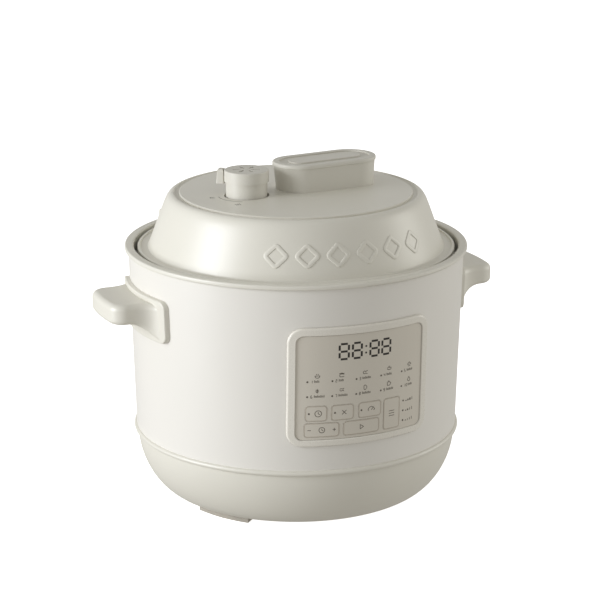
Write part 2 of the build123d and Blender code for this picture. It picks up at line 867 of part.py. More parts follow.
def grip_side():
    """Grip seen from the side: flat on top, hollowed underneath for the fingers."""
    under_end = mount_plate_bottom + grip_foot_rise
    with BuildSketch(Plane.XZ.offset(-2 * mount_plate_half_width)) as side:
        with BuildLine():
            Polyline((grip_root, grip_top), (grip_reach + 2, grip_top), (grip_reach + 2, grip_tip_bottom),
                     (tip_start, grip_tip_bottom))
            Bezier((tip_start, grip_tip_bottom), (tip_start - 10, grip_tip_bottom),
                   (flare_foot + 9, grip_tip_bottom - 5), (flare_foot + 1.5, under_end))
            Polyline((flare_foot + 1.5, under_end), (grip_root, under_end), (grip_root, grip_top))
        make_face()
    extrude(side.sketch, amount=4 * mount_plate_half_width, mode=Mode.INTERSECT)


with BuildPart() as mounting_plate:
    with BuildSketch(Plane.YZ.offset(cut_start)):
        with Locations((0, (mount_plate_bottom + mount_plate_top) / 2)):
            RectangleRounded(2 * mount_plate_half_width, mount_plate_height, mount_plate_corner)
    extrude(amount=cut_length)
    body_skin(mount_plate_bottom - 2, mount_plate_top + 2, fit_gap, mount_plate_thickness)
    fillet([edge for edge in mounting_plate.edges() if is_outer_edge(edge)], radius=1.2)

with BuildPart() as grip:
    grip_outline()
    grip_side()
    top_edges = grip.faces().sort_by(Axis.Z)[-1].edges()
    fillet([edge for edge in top_edges if edge.center().X > flare_foot + 0.5], radius=grip_round)
    fillet([edge for edge in grip.edges() if is_under_edge(edge)], radius=grip_under_round)

with BuildPart() as right_side_handle:
    add(grip.part)
    body_skin(mount_plate_bottom - 4, grip_top + 4, -40, fit_gap, Mode.SUBTRACT)
    add(mounting_plate.part)
    for angle in (-handle_screw_azimuth, handle_screw_azimuth):
        with BuildSketch(radial_plane(angle, screw_face, handle_screw_height)):
            Circle(handle_screw_radius + fit_gap)
        extrude(amount=handle_screw_length + 2, mode=Mode.SUBTRACT)
right_side_handle.part.label = "right_side_handle"
export_step(right_side_handle.part, "parts/right_side_handle.step")

with BuildPart() as left_side_handle:
    add(right_side_handle.part)
    mirror(about=Plane.YZ, mode=Mode.REPLACE)
left_side_handle.part.label = "left_side_handle"
export_step(left_side_handle.part, "parts/left_side_handle.step")

screw_seat = 0.4

with BuildPart() as side_handle_screws:
    for angle in handle_screw_angles:
        with BuildSketch(radial_plane(angle, screw_face - screw_seat, handle_screw_height)):
            Circle(handle_screw_radius)
        extrude(amount=handle_screw_length)
        with BuildSketch(radial_plane(angle, screw_face - screw_seat, handle_screw_height)):
            Circle(2 * handle_screw_radius)
        extrude(amount=-1.25 * handle_screw_radius)
side_handle_screws.part.label = "side_handle_screws"
export_step(side_handle_screws.part, "parts/side_handle_screws.step")

# Collar
with BuildPart() as collar:
    with BuildSketch(Plane.XZ):
        with BuildLine():
            Polyline((collar_skirt_outer_radius, collar_skirt_bottom),
                     (collar_skirt_outer_radius, collar_bottom),
                     (rim_radius - collar_lip, collar_bottom))
            RadiusArc((rim_radius - collar_lip, collar_bottom), (rim_radius, collar_bottom + collar_lip),
                      -collar_lip)
            Line((rim_radius, collar_bottom + collar_lip), (rim_radius, collar_top - collar_lip))
            RadiusArc((rim_radius, collar_top - collar_lip), (rim_radius - collar_lip, collar_top),
                      -collar_lip)
            Line((rim_radius - collar_lip, collar_top), (collar_opening_radius + collar_lip, collar_top))
            RadiusArc((collar_opening_radius + collar_lip, collar_top),
                      (collar_opening_radius, collar_top - collar_lip),
                      -collar_lip)
            Polyline((collar_opening_radius, collar_top - collar_lip),
                     (collar_opening_radius, collar_skirt_bottom),
                     (collar_skirt_outer_radius, collar_skirt_bottom))
        make_face()
    revolve(axis=Axis.Z)
collar.part.label = "collar"
export_step(collar.part, "parts/collar.step")

# Lid switch and its housing on the rim
switch_radius = (lock_housing_inner_radius + lock_housing_outer_radius) / 2
reed_height = collar_top + lock_housing_height / 2
reed_middle = (switch_radius * cos(radians(lock_housing_azimuth)),
               switch_radius * sin(radians(lock_housing_azimuth)))
reed_along = (-sin(radians(lock_housing_azimuth)), cos(radians(lock_housing_azimuth)), 0)
reed_plane = Plane(origin=(*reed_middle, reed_height), x_dir=(0, 0, 1), z_dir=reed_along)

with BuildPart() as lid_switch_housing:
    sector(lock_housing_inner_radius, lock_housing_outer_radius, lock_housing_azimuth, lock_housing_angle,
           collar_top, collar_top + lock_housing_height)
    fillet(lid_switch_housing.edges().filter_by(Axis.Z), radius=lock_housing_corner)
    fillet(lid_switch_housing.faces().sort_by(Axis.Z)[-1].edges(), radius=lock_housing_round)
    with BuildSketch(reed_plane):
        Circle(reed_radius + reed_gap)
    extrude(amount=reed_length / 2 + reed_gap, both=True, mode=Mode.SUBTRACT)
lid_switch_housing.part.label = "lid_switch_housing"
export_step(lid_switch_housing.part, "parts/lid_switch_housing.step")

with BuildPart() as lid_switch:
    with BuildSketch(reed_plane):
        Circle(reed_radius)
    extrude(amount=reed_length / 2, both=True)
lid_switch.part.label = "lid_switch"
export_step(lid_switch.part, "parts/lid_switch.step")

# Outer pot and locking ring
outer_pot_flange_top = collar_skirt_bottom
outer_pot_flange_low = outer_pot_flange_top - outer_pot_wall

with BuildPart() as outer_pot:
    tube(outer_pot_inner + outer_pot_wall, outer_pot_inner, outer_pot_bottom,
         outer_pot_shoulder + outer_pot_wall)
    tube(outer_pot_inner + outer_pot_wall, outer_pot_opening_radius, outer_pot_bottom,
         outer_pot_bottom + outer_pot_wall)
    tube(outer_pot_step_radius + outer_pot_wall, outer_pot_inner, outer_pot_shoulder,
         outer_pot_shoulder + outer_pot_wall)
    tube(outer_pot_step_radius + outer_pot_wall, outer_pot_step_radius, outer_pot_shoulder,
         outer_pot_flange_top)
    tube(collar_skirt_outer_radius, outer_pot_step_radius, outer_pot_flange_low, outer_pot_flange_top)
    with BuildSketch(Plane.XY.offset(outer_pot_flange_low)):
        with PolarLocations(ring_screw_circle, tooth_count, start_angle=180 / tooth_count):
            Circle(ring_screw_radius + fit_gap)
    extrude(amount=outer_pot_wall, mode=Mode.SUBTRACT)
    for side in (-1, 1):
        post(side * bracket_bolt_reach, 0, bracket_bolt_radius + fit_gap, outer_pot_bottom,
             outer_pot_bottom + outer_pot_wall, mode=Mode.SUBTRACT)
outer_pot.part.label = "outer_pot"
export_step(outer_pot.part, "parts/outer_pot.step")

ring_top = outer_pot_flange_top + ring_thickness

with BuildPart() as locking_ring:
    tube(ring_outer_radius, outer_pot_step_radius - 1, outer_pot_flange_top, ring_top)
    for angle in tooth_angles:
        sector(tooth_inner_radius, outer_pot_step_radius, angle, tooth_angle, outer_pot_flange_top, ring_top)
    with BuildSketch(Plane.XY.offset(outer_pot_flange_top)):
        with PolarLocations(ring_screw_circle, tooth_count, start_angle=180 / tooth_count):
            Circle(ring_screw_radius + fit_gap)
    extrude(amount=ring_thickness, mode=Mode.SUBTRACT)
locking_ring.part.label = "locking_ring"
export_step(locking_ring.part, "parts/locking_ring.step")

with BuildPart() as locking_ring_screws:
    with BuildSketch(Plane.XY.offset(ring_top)):
        with PolarLocations(ring_screw_circle, tooth_count, start_angle=180 / tooth_count):
            Circle(1.6 * ring_screw_radius)
    extrude(amount=ring_screw_head)
    with BuildSketch(Plane.XY.offset(outer_pot_flange_low - ring_screw_tail)):
        with PolarLocations(ring_screw_circle, tooth_count, start_angle=180 / tooth_count):
            Circle(ring_screw_radius)
    extrude(amount=ring_top - outer_pot_flange_low + ring_screw_tail)
locking_ring_screws.part.label = "locking_ring_screws"
export_step(locking_ring_screws.part, "parts/locking_ring_screws.step")

# Inner pot
pot_flange_low = outer_pot_shoulder + outer_pot_wall + slip_gap
pot_flange_top = pot_flange_low + pot_wall
pot_inner_radius = pot_outer_radius - pot_wall

with BuildPart() as inner_pot:
    with BuildSketch(Plane.XZ):
        with BuildLine():
            Line((0, pot_bottom), (pot_outer_radius - pot_corner, pot_bottom))
            RadiusArc((pot_outer_radius - pot_corner, pot_bottom),
                      (pot_outer_radius, pot_bottom + pot_corner),
                      -pot_corner)
            Polyline((pot_outer_radius, pot_bottom + pot_corner), (pot_outer_radius, pot_flange_low),
                     (pot_flange_radius, pot_flange_low), (pot_flange_radius, pot_flange_top),
                     (pot_inner_radius, pot_flange_top), (pot_inner_radius, pot_bottom + pot_corner))
            RadiusArc((pot_inner_radius, pot_bottom + pot_corner),
                      (pot_outer_radius - pot_corner, pot_bottom + pot_wall),
                      pot_corner - pot_wall)
            Polyline((pot_outer_radius - pot_corner, pot_bottom + pot_wall), (0, pot_bottom + pot_wall),
                     (0, pot_bottom))
        make_face()
    revolve(axis=Axis.Z)
inner_pot.part.label = "inner_pot"
export_step(inner_pot.part, "parts/inner_pot.step")

# Heating plate, bracket and sensor
with BuildPart() as heating_plate:
    turned([(heater_hole_radius, heater_low), (heater_radius, heater_low), (heater_radius, heater_top - 1),
            (heater_radius - 2, heater_top), (heater_hole_radius, heater_top)])
    for side in (-1, 1):
        post(side * heater_foot_reach, 0, heater_foot_radius, bracket_top, heater_low)
heating_plate.part.label = "heating_plate"
export_step(heating_plate.part, "parts/heating_plate.step")

tab_top = heater_low - terminal_height
tab_bottom = tab_top - tab_length

with BuildPart() as heater_terminals:
    for side in (-1, 1):
        post(side * terminal_x, terminal_y, terminal_radius, tab_top, heater_low)
        block(side * terminal_x, terminal_y, tab_width, tab_thickness, tab_bottom, tab_top)
heater_terminals.part.label = "heater_terminals"
export_step(heater_terminals.part, "parts/heater_terminals.step")

with BuildPart() as heater_bracket:
    block(0, 0, 2 * bracket_half_length, bracket_width, bracket_bottom, bracket_top)
    post(0, 0, spring_radius + 1, bracket_bottom, bracket_top, mode=Mode.SUBTRACT)
    for side in (-1, 1):
        post(side * bracket_bolt_reach, 0, bracket_bolt_radius + fit_gap, bracket_bottom, bracket_top,
             mode=Mode.SUBTRACT)
heater_bracket.part.label = "heater_bracket"
export_step(heater_bracket.part, "parts/heater_bracket.step")

with BuildPart() as bracket_bolts:
    for side in (-1, 1):
        post(side * bracket_bolt_reach, 0, bracket_bolt_radius, bracket_bottom,
             outer_pot_bottom + bracket_bolt_tail)
        post(side * bracket_bolt_reach, 0, 2 * bracket_bolt_radius, bracket_bottom - bracket_bolt_head,
             bracket_bottom)
        post(side * bracket_bolt_reach, 0, 2 * bracket_bolt_radius, bracket_top, outer_pot_bottom)
bracket_bolts.part.label = "bracket_bolts"
export_step(bracket_bolts.part, "parts/bracket_bolts.step")

with BuildPart() as temperature_sensor:
    turned([(0, sensor_top - sensor_wall), (sensor_radius - sensor_wall, sensor_top - sensor_wall),
            (sensor_radius - sensor_wall, sensor_bottom), (sensor_radius, sensor_bottom),
            (sensor_radius, sensor_top - 1), (sensor_radius - 1, sensor_top), (0, sensor_top)])
temperature_sensor.part.label = "temperature_sensor"
export_step(temperature_sensor.part, "parts/temperature_sensor.step")

holder_top = bracket_top + holder_thickness

with BuildPart() as sensor_holder:
    tube(spring_radius + 2.5, 0, bracket_top, holder_top)
    tube(holder_pin_radius, 0, holder_top, holder_top + holder_pin_height)
sensor_holder.part.label = "sensor_holder"
export_step(sensor_holder.part, "parts/sensor_holder.step")

spring_low = holder_top + spring_wire_radius + slip_gap
spring_high = sensor_top - sensor_wall - spring_wire_radius - slip_gap

with BuildPart() as sensor_spring:
    with BuildLine(Plane.XY.offset(spring_low)) as coil:
        Helix(pitch=(spring_high - spring_low) / spring_turns, height=spring_high - spring_low,
              radius=spring_radius)
    with BuildSketch(Plane(origin=coil.line @ 0, z_dir=coil.line % 0)):
        Circle(spring_wire_radius)
    sweep(path=coil.line, is_frenet=True)
sensor_spring.part.label = "sensor_spring"
export_step(sensor_spring.part, "parts/sensor_spring.step")

with BuildPart() as thermal_fuse:
    with BuildSketch(Plane.YZ.offset(-fuse_length / 2)):
        with Locations((fuse_y, heater_low - fuse_radius)):
            Circle(fuse_radius)
    extrude(amount=fuse_length)
thermal_fuse.part.label = "thermal_fuse"
export_step(thermal_fuse.part, "parts/thermal_fuse.step")

# Power inlet
inlet_middle = (inlet_bottom + inlet_top) / 2
inlet_floor = inlet_face - inlet_cavity_depth
pin_spots = [(-pin_spacing, inlet_middle - pin_stagger), (pin_spacing, inlet_middle - pin_stagger),
             (0.0, inlet_middle + pin_stagger)]

with BuildPart() as inlet_socket:
    block(0, (inlet_back + inlet_face) / 2, 2 * inlet_half_width, inlet_face - inlet_back, inlet_bottom,
          inlet_top)
    fillet(inlet_socket.edges().filter_by(Axis.Y), radius=inlet_corner)
    with BuildSketch(Plane.XZ.offset(-inlet_face)):
        with Locations((0, inlet_middle)):
            RectangleRounded(inlet_cavity_width, inlet_cavity_height, inlet_corner)
    extrude(amount=inlet_cavity_depth, mode=Mode.SUBTRACT)
    with BuildSketch(Plane.XZ.offset(-inlet_floor)):
        with Locations(*pin_spots):
            Rectangle(pin_width + 2 * fit_gap, pin_height + 2 * fit_gap)
    extrude(amount=inlet_floor - inlet_back, mode=Mode.SUBTRACT)
inlet_socket.part.label = "inlet_socket"
export_step(inlet_socket.part, "parts/inlet_socket.step")

with BuildPart() as inlet_pins:
    with BuildSketch(Plane.XZ.offset(pin_setback - inlet_face)):
        with Locations(*pin_spots):
            Rectangle(pin_width, pin_height)
    extrude(amount=inlet_depth - pin_setback + pin_tail)
inlet_pins.part.label = "inlet_pins"
export_step(inlet_pins.part, "parts/inlet_pins.step")

# Power board and leads
power_board_top = power_board_bottom + board_thickness

with BuildPart() as power_board:
    block(0, 0, power_board_length, power_board_width, power_board_bottom, power_board_top)
power_board.part.label = "power_board"
export_step(power_board.part, "parts/power_board.step")

with BuildPart() as board_components:
    for spot, size in ((transformer_spot, transformer_size), (relay_spot, relay_size),
                       ((0, terminal_block_y), terminal_block_size)):
        block(*spot, size[0], size[1], power_board_top, power_board_top + size[2])
    post(*capacitor_spot, capacitor_radius, power_board_top, power_board_top + capacitor_height)
board_components.part.label = "board_components"
export_step(board_components.part, "parts/board_components.step")

pin_back = inlet_back - pin_tail
lead_low = power_board_top + terminal_block_size[2]

with BuildPart() as mains_leads:
    for pin_x, pin_z in pin_spots:
        with BuildLine() as lead_route:
            FilletPolyline((pin_x, pin_back, pin_z), (pin_x, pin_back - 30, pin_z),
                           (pin_x, terminal_block_y, lead_low + 8),
                           (pin_x, terminal_block_y, lead_low), radius=6)
        with BuildSketch(Plane.XZ.offset(-pin_back)):
            with Locations((pin_x, pin_z)):
                Circle(lead_radius)
        sweep(path=lead_route.line)
mains_leads.part.label = "mains_leads"
export_step(mains_leads.part, "parts/mains_leads.step")

with BuildPart() as heater_leads:
    for side in (-1, 1):
        lead_x = side * lead_spacing
        with BuildLine() as heater_route:
            FilletPolyline((lead_x, terminal_block_y, lead_low), (lead_x, terminal_block_y, lead_low + 6),
                           (side * terminal_x, terminal_y, tab_bottom - 5), (side * terminal_x, terminal_y,
                                                                             tab_bottom),
                           radius=2.0)
        with BuildSketch(Plane.XY.offset(lead_low)):
            with Locations((lead_x, terminal_block_y)):
                Circle(lead_radius)
        sweep(path=heater_route.line)
heater_leads.part.label = "heater_leads"
export_step(heater_leads.part, "parts/heater_leads.step")

ribbon_y = -(outer_pot_inner + outer_pot_wall + 4)
board_tail = -board_back + ribbon_thickness / 2 + slip_gap

with BuildPart() as ribbon_cable:
    with BuildLine() as ribbon_route:
        FilletPolyline((0, -35, power_board_top + 1), (0, -70, power_board_top + 1), (0, ribbon_y, 50),
                       (0, ribbon_y, 84), (0, board_tail, 96), (0, board_tail, 108), radius=5)
    with BuildSketch(Plane(origin=ribbon_route.line @ 0, z_dir=ribbon_route.line % 0, x_dir=(1, 0, 0))):
        Rectangle(ribbon_width, ribbon_thickness)
    sweep(path=ribbon_route.line)
ribbon_cable.part.label = "ribbon_cable"
export_step(ribbon_cable.part, "parts/ribbon_cable.step")

# Lid cover
disc_edge = lid_disc_radius
crown_edge = disc_edge - 0.6
groove_outer = disc_edge + groove_width
boss_top = under_disc + lid_wall / 2
crown_radius = (crown_edge ** 2 + lid_crown ** 2) / (2 * lid_crown)
crown_middle = crown_top - crown_radius + sqrt(crown_radius ** 2 - (crown_edge / 2) ** 2)
shoulder_slope = (lid_cone_radius - lid_shoulder_radius) / (lid_shoulder_height - lid_cone_foot)
groove_lip = lid_disc_height - groove_lip_drop
groove_floor = groove_lip - groove_depth
handle_screw_spots = [on_lid(handle_base_centre + side * handle_screw_spacing / 2, 0) for side in (-1, 1)]


def lid_crown_solid(mode=Mode.ADD):
    """Everything under the crowned top of the lid, down to a flat level."""
    with BuildSketch(Plane.XZ) as section:
        with BuildLine():
            Polyline((0, crown_top), (0, lid_disc_height - 10), (crown_edge, lid_disc_height - 10),
                     (crown_edge, lid_disc_height))
            ThreePointArc((crown_edge, lid_disc_height),
                          (crown_edge / 2, crown_middle),
                          (0, crown_top))
        make_face()
    revolve(section.sketch, axis=Axis.Z, mode=mode)


with BuildPart() as lid_cover:
    with BuildSketch(Plane.XZ):
        with BuildLine():
            Polyline((lid_cone_radius - lid_wall, lid_edge_bottom), (lid_edge_radius, lid_edge_bottom),
                     (lid_edge_radius, lid_edge_top - lid_lip_bevel), (lid_edge_radius - lid_lip_bevel,
                                                                       lid_edge_top),
                     (lid_edge_radius - lid_lip_width + lid_lip_bevel / 2, lid_edge_top),
                     (lid_edge_radius - lid_lip_width, lid_rim_level), (lid_cone_radius + 0.8,
                                                                        lid_rim_level),
                     (lid_cone_radius, lid_cone_foot), (lid_shoulder_radius, lid_shoulder_height))
            Bezier((lid_shoulder_radius, lid_shoulder_height),
                   (lid_shoulder_radius - 8 * shoulder_slope, lid_shoulder_height + 8),
                   (groove_outer + 6, groove_lip), (groove_outer + groove_lip_round, groove_lip))
            RadiusArc((groove_outer + groove_lip_round, groove_lip),
                      (groove_outer, groove_lip - groove_lip_round),
                      groove_lip_round)
            Polyline((groove_outer, groove_lip - groove_lip_round), (groove_outer - 0.5, groove_floor),
                     (disc_edge, groove_floor), (disc_edge, lid_disc_height - 0.5), (crown_edge,
                                                                                     lid_disc_height))
            ThreePointArc((crown_edge, lid_disc_height),
                          (crown_edge / 2, crown_middle),
                          (0, crown_top))
            Polyline((0, crown_top), (0, under_disc), (disc_edge - 3, under_disc - 1.5))
            Bezier((disc_edge - 3, under_disc - 1.5), (disc_edge + 6, under_disc - 2),
                   (lid_shoulder_radius - lid_wall - 4 * shoulder_slope, lid_shoulder_height + 4),
                   (lid_shoulder_radius - lid_wall, lid_shoulder_height))
            Polyline((lid_shoulder_radius - lid_wall, lid_shoulder_height),
                     (lid_cone_radius - lid_wall, lid_cone_foot),
                     (lid_cone_radius - lid_wall, lid_edge_bottom))
        make_face()
    revolve(axis=Axis.Z)
    post(knob_x, knob_y, knob_hole_radius + knob_wall, well_bottom, boss_top)
    post(knob_x, knob_y, knob_hole_radius, well_bottom, crown_top + 1, mode=Mode.SUBTRACT)
    post(float_x, float_y, float_hole_radius + float_hole_wall, well_bottom, boss_top)
    post(float_x, float_y, float_hole_radius, well_bottom, crown_top + 1, mode=Mode.SUBTRACT)
    for spot in handle_screw_spots:
        post(*spot, lid_boss_radius, pressure_lid_dome + slip_gap, boss_top)
        post(*spot, lid_screw_radius + fit_gap, pressure_lid_dome, crown_top + 1, mode=Mode.SUBTRACT)
lid_cover.part.label = "lid_cover"
export_step(lid_cover.part, "parts/lid_cover.step")

# Pressure lid with bayonet lugs
lug_top = outer_pot_flange_top - lug_gap
lug_low = lug_top - lug_thickness
shelf_edge = pressure_lid_radius - pressure_lid_shelf_width
dome_edge = shelf_edge - pressure_lid_slope_width
dome_edge_height = pressure_lid_dome - dome_crown
sheet = pressure_lid_sheet
dome_slope = (pressure_lid_dome - dome_edge_height) / dome_edge


def dome_height(x, y):
    """Upper face of the pressure lid's shallow dome."""
    return pressure_lid_dome - dome_slope * sqrt(x * x + y * y)


with BuildPart() as pressure_lid:
    turned([(pressure_lid_radius - sheet, lug_low), (pressure_lid_radius, lug_low),
            (pressure_lid_radius, pressure_lid_shelf), (shelf_edge, pressure_lid_shelf), (dome_edge,
                                                                                          dome_edge_height),
            (0, pressure_lid_dome), (0, pressure_lid_dome - sheet), (dome_edge - 0.4,
                                                                     dome_edge_height - sheet),
            (shelf_edge - 0.4, pressure_lid_shelf - sheet), (pressure_lid_radius - sheet,
                                                             pressure_lid_shelf - sheet)])
    for angle in tooth_angles:
        sector(pressure_lid_radius - 0.5, lug_radius, angle, tooth_angle, lug_low, lug_top)
    post(knob_x, knob_y, pipe_radius + fit_gap, pressure_lid_low, pressure_lid_dome + 1, mode=Mode.SUBTRACT)
    post(float_x, float_y, float_radius + running_gap, pressure_lid_low, pressure_lid_dome + 1,
         mode=Mode.SUBTRACT)
    for spot in handle_screw_spots:
        post(*spot, lid_screw_radius + fit_gap, pressure_lid_low, pressure_lid_dome + 1, mode=Mode.SUBTRACT)
pressure_lid.part.label = "pressure_lid"
export_step(pressure_lid.part, "parts/pressure_lid.step")

# Sealing ring and its rack
seal_low = pot_flange_top + seal_gap
seal_high = pressure_lid_shelf - sheet - seal_gap

with BuildPart() as sealing_ring:
    turned([(seal_inner_radius, seal_low + 2), (seal_outer_radius - 1, seal_low),
            (seal_outer_radius, seal_low + 1),
            (seal_outer_radius, seal_high), (seal_inner_radius, seal_high), (seal_inner_radius,
                                                                             seal_high - seal_lip),
            (seal_outer_radius - seal_lip, seal_high - seal_lip), (seal_outer_radius - seal_lip,
                                                                   seal_low + seal_lip),
            (seal_inner_radius, seal_low + 4)])
sealing_ring.part.label = "sealing_ring"
export_step(sealing_ring.part, "parts/sealing_ring.step")

rack_middle = (seal_low + seal_high) / 2
rack_radius = seal_inner_radius - rack_gap

with BuildPart() as seal_rack:
    tube(rack_radius, rack_radius - rack_width, rack_middle - rack_height / 2, rack_middle + rack_height / 2)
    tube(rack_radius, rack_radius - rack_wall, rack_middle + rack_height / 2, seal_high + seal_gap)
seal_rack.part.label = "seal_rack"
export_step(seal_rack.part, "parts/seal_rack.step")

# Lid handle
def handle_slot(centre, length, width, mode=Mode.ADD):
    """Outline with round ends that lies along the handle's axis."""
    with Locations(Location((*on_lid(centre, 0), 0), lid_azimuth)):
        SlotOverall(length, width, mode=mode)


def handle_loft(inset, mode=Mode.ADD):
    """Block with round ends that widens a little towards the top."""
    shrink = 2 * inset
    with BuildSketch(Plane.XY.offset(lid_disc_height)) as foot_outline:
        handle_slot(handle_base_centre, handle_base_length - shrink, handle_base_width - shrink)
    shrink = 2 * (inset + handle_cap_overhang)
    with BuildSketch(Plane.XY.offset(handle_split)) as top_outline:
        handle_slot(handle_top_centre, handle_top_length - shrink, handle_top_width - shrink)
    loft([foot_outline.sketch, top_outline.sketch], mode=mode)


with BuildPart() as lid_handle_body:
    handle_loft(0)
    handle_loft(handle_wall, Mode.SUBTRACT)
    for spot in handle_screw_spots:
        post(*spot, handle_boss_radius, lid_disc_height, handle_split - 3)
        with BuildSketch(Plane.XY.offset(lid_disc_height)):
            with Locations(Location((*spot, 0), lid_azimuth)):
                Rectangle(handle_rib, handle_base_width - 2 * handle_wall)
        extrude(amount=handle_body_height - 8)
        post(*spot, lid_screw_radius + fit_gap, lid_disc_height, handle_split - 6, mode=Mode.SUBTRACT)
    lid_crown_solid(Mode.SUBTRACT)
lid_handle_body.part.label = "lid_handle_body"
export_step(lid_handle_body.part, "parts/lid_handle_body.step")

head_gap = 0.2
inner_trim = 2 * (handle_groove_inset + handle_groove_width)

with BuildPart() as lid_handle_cap:
    with BuildSketch(Plane.XY.offset(handle_split + handle_cap_gap)):
        handle_slot(handle_top_centre, handle_top_length, handle_top_width)
    extrude(amount=handle_cap_height - handle_cap_gap)
    fillet(lid_handle_cap.faces().sort_by(Axis.Z)[-1].edges(), radius=handle_cap_round)
    fillet(lid_handle_cap.faces().sort_by(Axis.Z)[0].edges(), radius=handle_cap_under_round)
    with BuildSketch(Plane.XY.offset(handle_top)):
        handle_slot(handle_top_centre, handle_top_length - 2 * handle_groove_inset,
                    handle_top_width - 2 * handle_groove_inset)
        handle_slot(handle_top_centre, handle_top_length - inner_trim, handle_top_width - inner_trim,
                    Mode.SUBTRACT)
    extrude(amount=-handle_groove_depth, mode=Mode.SUBTRACT)
    fillet(lid_handle_cap.faces().filter_by(Plane.XY).group_by(Axis.Z)[-1].edges(), radius=0.5)
lid_handle_cap.part.label = "lid_handle_cap"
export_step(lid_handle_cap.part, "parts/lid_handle_cap.step")

with BuildPart() as lid_handle_screws:
    for spot in handle_screw_spots:
        head_top = dome_height(*spot) - sheet - head_gap
        post(*spot, lid_screw_radius, head_top, handle_split - 8)
        post(*spot, 2.2 * lid_screw_radius, head_top - lid_screw_head, head_top)
lid_handle_screws.part.label = "lid_handle_screws"
export_step(lid_handle_screws.part, "parts/lid_handle_screws.step")

with BuildPart() as lid_magnet:
    post(magnet_circle * cos(radians(lock_housing_azimuth)),
         magnet_circle * sin(radians(lock_housing_azimuth)),
         magnet_radius, lid_edge_bottom - magnet_thickness, lid_edge_bottom)
lid_magnet.part.label = "lid_magnet"
export_step(lid_magnet.part, "parts/lid_magnet.step")

# Steam pipe under the knob
nut_radius = 1.7 * pipe_radius
pipe_seat = dome_height(knob_x, knob_y) + 2 * head_gap
pipe_under = dome_height(knob_reach + nut_radius, 0) - sheet - slip_gap
nut_low = pipe_under - pipe_nut_height

with BuildPart() as steam_pipe:
    post(knob_x, knob_y, pipe_radius, nut_low - 2, pipe_top)
    post(knob_x, knob_y, 2 * pipe_radius, pipe_seat, pipe_seat + pipe_collar_height)
    post(knob_x, knob_y, pipe_bore, nut_low - 2, pipe_top, mode=Mode.SUBTRACT)
steam_pipe.part.label = "steam_pipe"
export_step(steam_pipe.part, "parts/steam_pipe.step")

with BuildPart() as steam_pipe_nut:
    with BuildSketch(Plane.XY.offset(nut_low)):
        with Locations((knob_x, knob_y)):
            RegularPolygon(nut_radius, 6)
            Circle(pipe_radius + fit_gap, mode=Mode.SUBTRACT)
    extrude(amount=pipe_under - nut_low)
steam_pipe_nut.part.label = "steam_pipe_nut"
export_step(steam_pipe_nut.part, "parts/steam_pipe_nut.step")

shield_low = pressure_lid_shelf - shield_depth
shield_high = nut_low - head_gap

with BuildPart() as anti_block_shield:
    post(knob_x, knob_y, shield_radius, shield_low, shield_high)
    post(knob_x, knob_y, shield_radius - shield_sheet, shield_low + shield_sheet, shield_high - shield_sheet,
         mode=Mode.SUBTRACT)
    post(knob_x, knob_y, pipe_radius + fit_gap, shield_high - 1.5 * shield_sheet, nut_low,
         mode=Mode.SUBTRACT)
    with BuildSketch(Plane.XY.offset(shield_low)):
        with Locations((knob_x, knob_y)):
            with PolarLocations(shield_hole_circle, shield_holes):
                Circle(shield_hole_radius)
    extrude(amount=shield_sheet, mode=Mode.SUBTRACT)
anti_block_shield.part.label = "anti_block_shield"
export_step(anti_block_shield.part, "parts/anti_block_shield.step")

# Float valve
float_collar_low = dome_height(float_x, float_y) + head_gap
float_seal_top = dome_height(float_x, float_y) - sheet - float_rise - 0.3
float_seal_low = float_seal_top - float_seal_thickness

with BuildPart() as float_valve:
    post(float_x, float_y, float_radius, float_seal_low - 2, float_top - float_head_height)
    post(float_x, float_y, 1.5 * float_radius, float_seal_low - 2, float_seal_low)
    post(float_x, float_y, 1.7 * float_radius, float_collar_low, float_collar_low + 1.4)
    post(float_x, float_y, float_head_radius, float_top - float_head_height, float_top)
    fillet(float_valve.faces().sort_by(Axis.Z)[-1].edges(), radius=0.8)
float_valve.part.label = "float_valve"
export_step(float_valve.part, "parts/float_valve.step")

with BuildPart() as float_seal:
    post(float_x, float_y, 2 * float_radius, float_seal_low, float_seal_top, float_radius)
float_seal.part.label = "float_seal"
export_step(float_seal.part, "parts/float_seal.step")

# Steam release knob
hub_bore = pipe_radius + running_gap
hub_top = knob_cap_bottom - hub_drop

with BuildPart() as knob_stem:
    post(knob_x, knob_y, knob_stem_radius, knob_bottom, knob_cap_bottom, knob_stem_radius - knob_wall)
    post(knob_x, knob_y, knob_stem_radius - 1, hub_top - 2, hub_top, hub_bore)
    post(knob_x, knob_y, hub_bore + hub_wall, knob_bottom + 2, hub_top, hub_bore)
knob_stem.part.label = "knob_stem"
export_step(knob_stem.part, "parts/knob_stem.step")

with BuildPart() as knob_weight:
    post(knob_x, knob_y, pipe_radius, pipe_top + weight_gap, hub_top + 2)
    fillet(knob_weight.faces().sort_by(Axis.Z)[-1].edges(), radius=0.8)
knob_weight.part.label = "knob_weight"
export_step(knob_weight.part, "parts/knob_weight.step")

tab_direction = (cos(radians(knob_tab_angle)), sin(radians(knob_tab_angle)))
tab_inner = knob_cap_radius - knob_wall / 5
tab_middle = (tab_inner + knob_tab_reach) / 2

with BuildPart() as knob_tab:
    with BuildSketch(Plane.XY.offset(knob_tab_bottom)):
        with Locations(Location((knob_x + tab_middle * tab_direction[0],
                                 knob_y + tab_middle * tab_direction[1]),
                                knob_tab_angle)):
            RectangleRounded(knob_tab_reach - tab_inner, knob_tab_width, 1.2)
    extrude(amount=knob_cap_top - knob_tab_bottom, taper=knob_tab_draft)
    fillet(knob_tab.faces().sort_by(Axis.Z)[-1].edges(), radius=knob_cap_round)

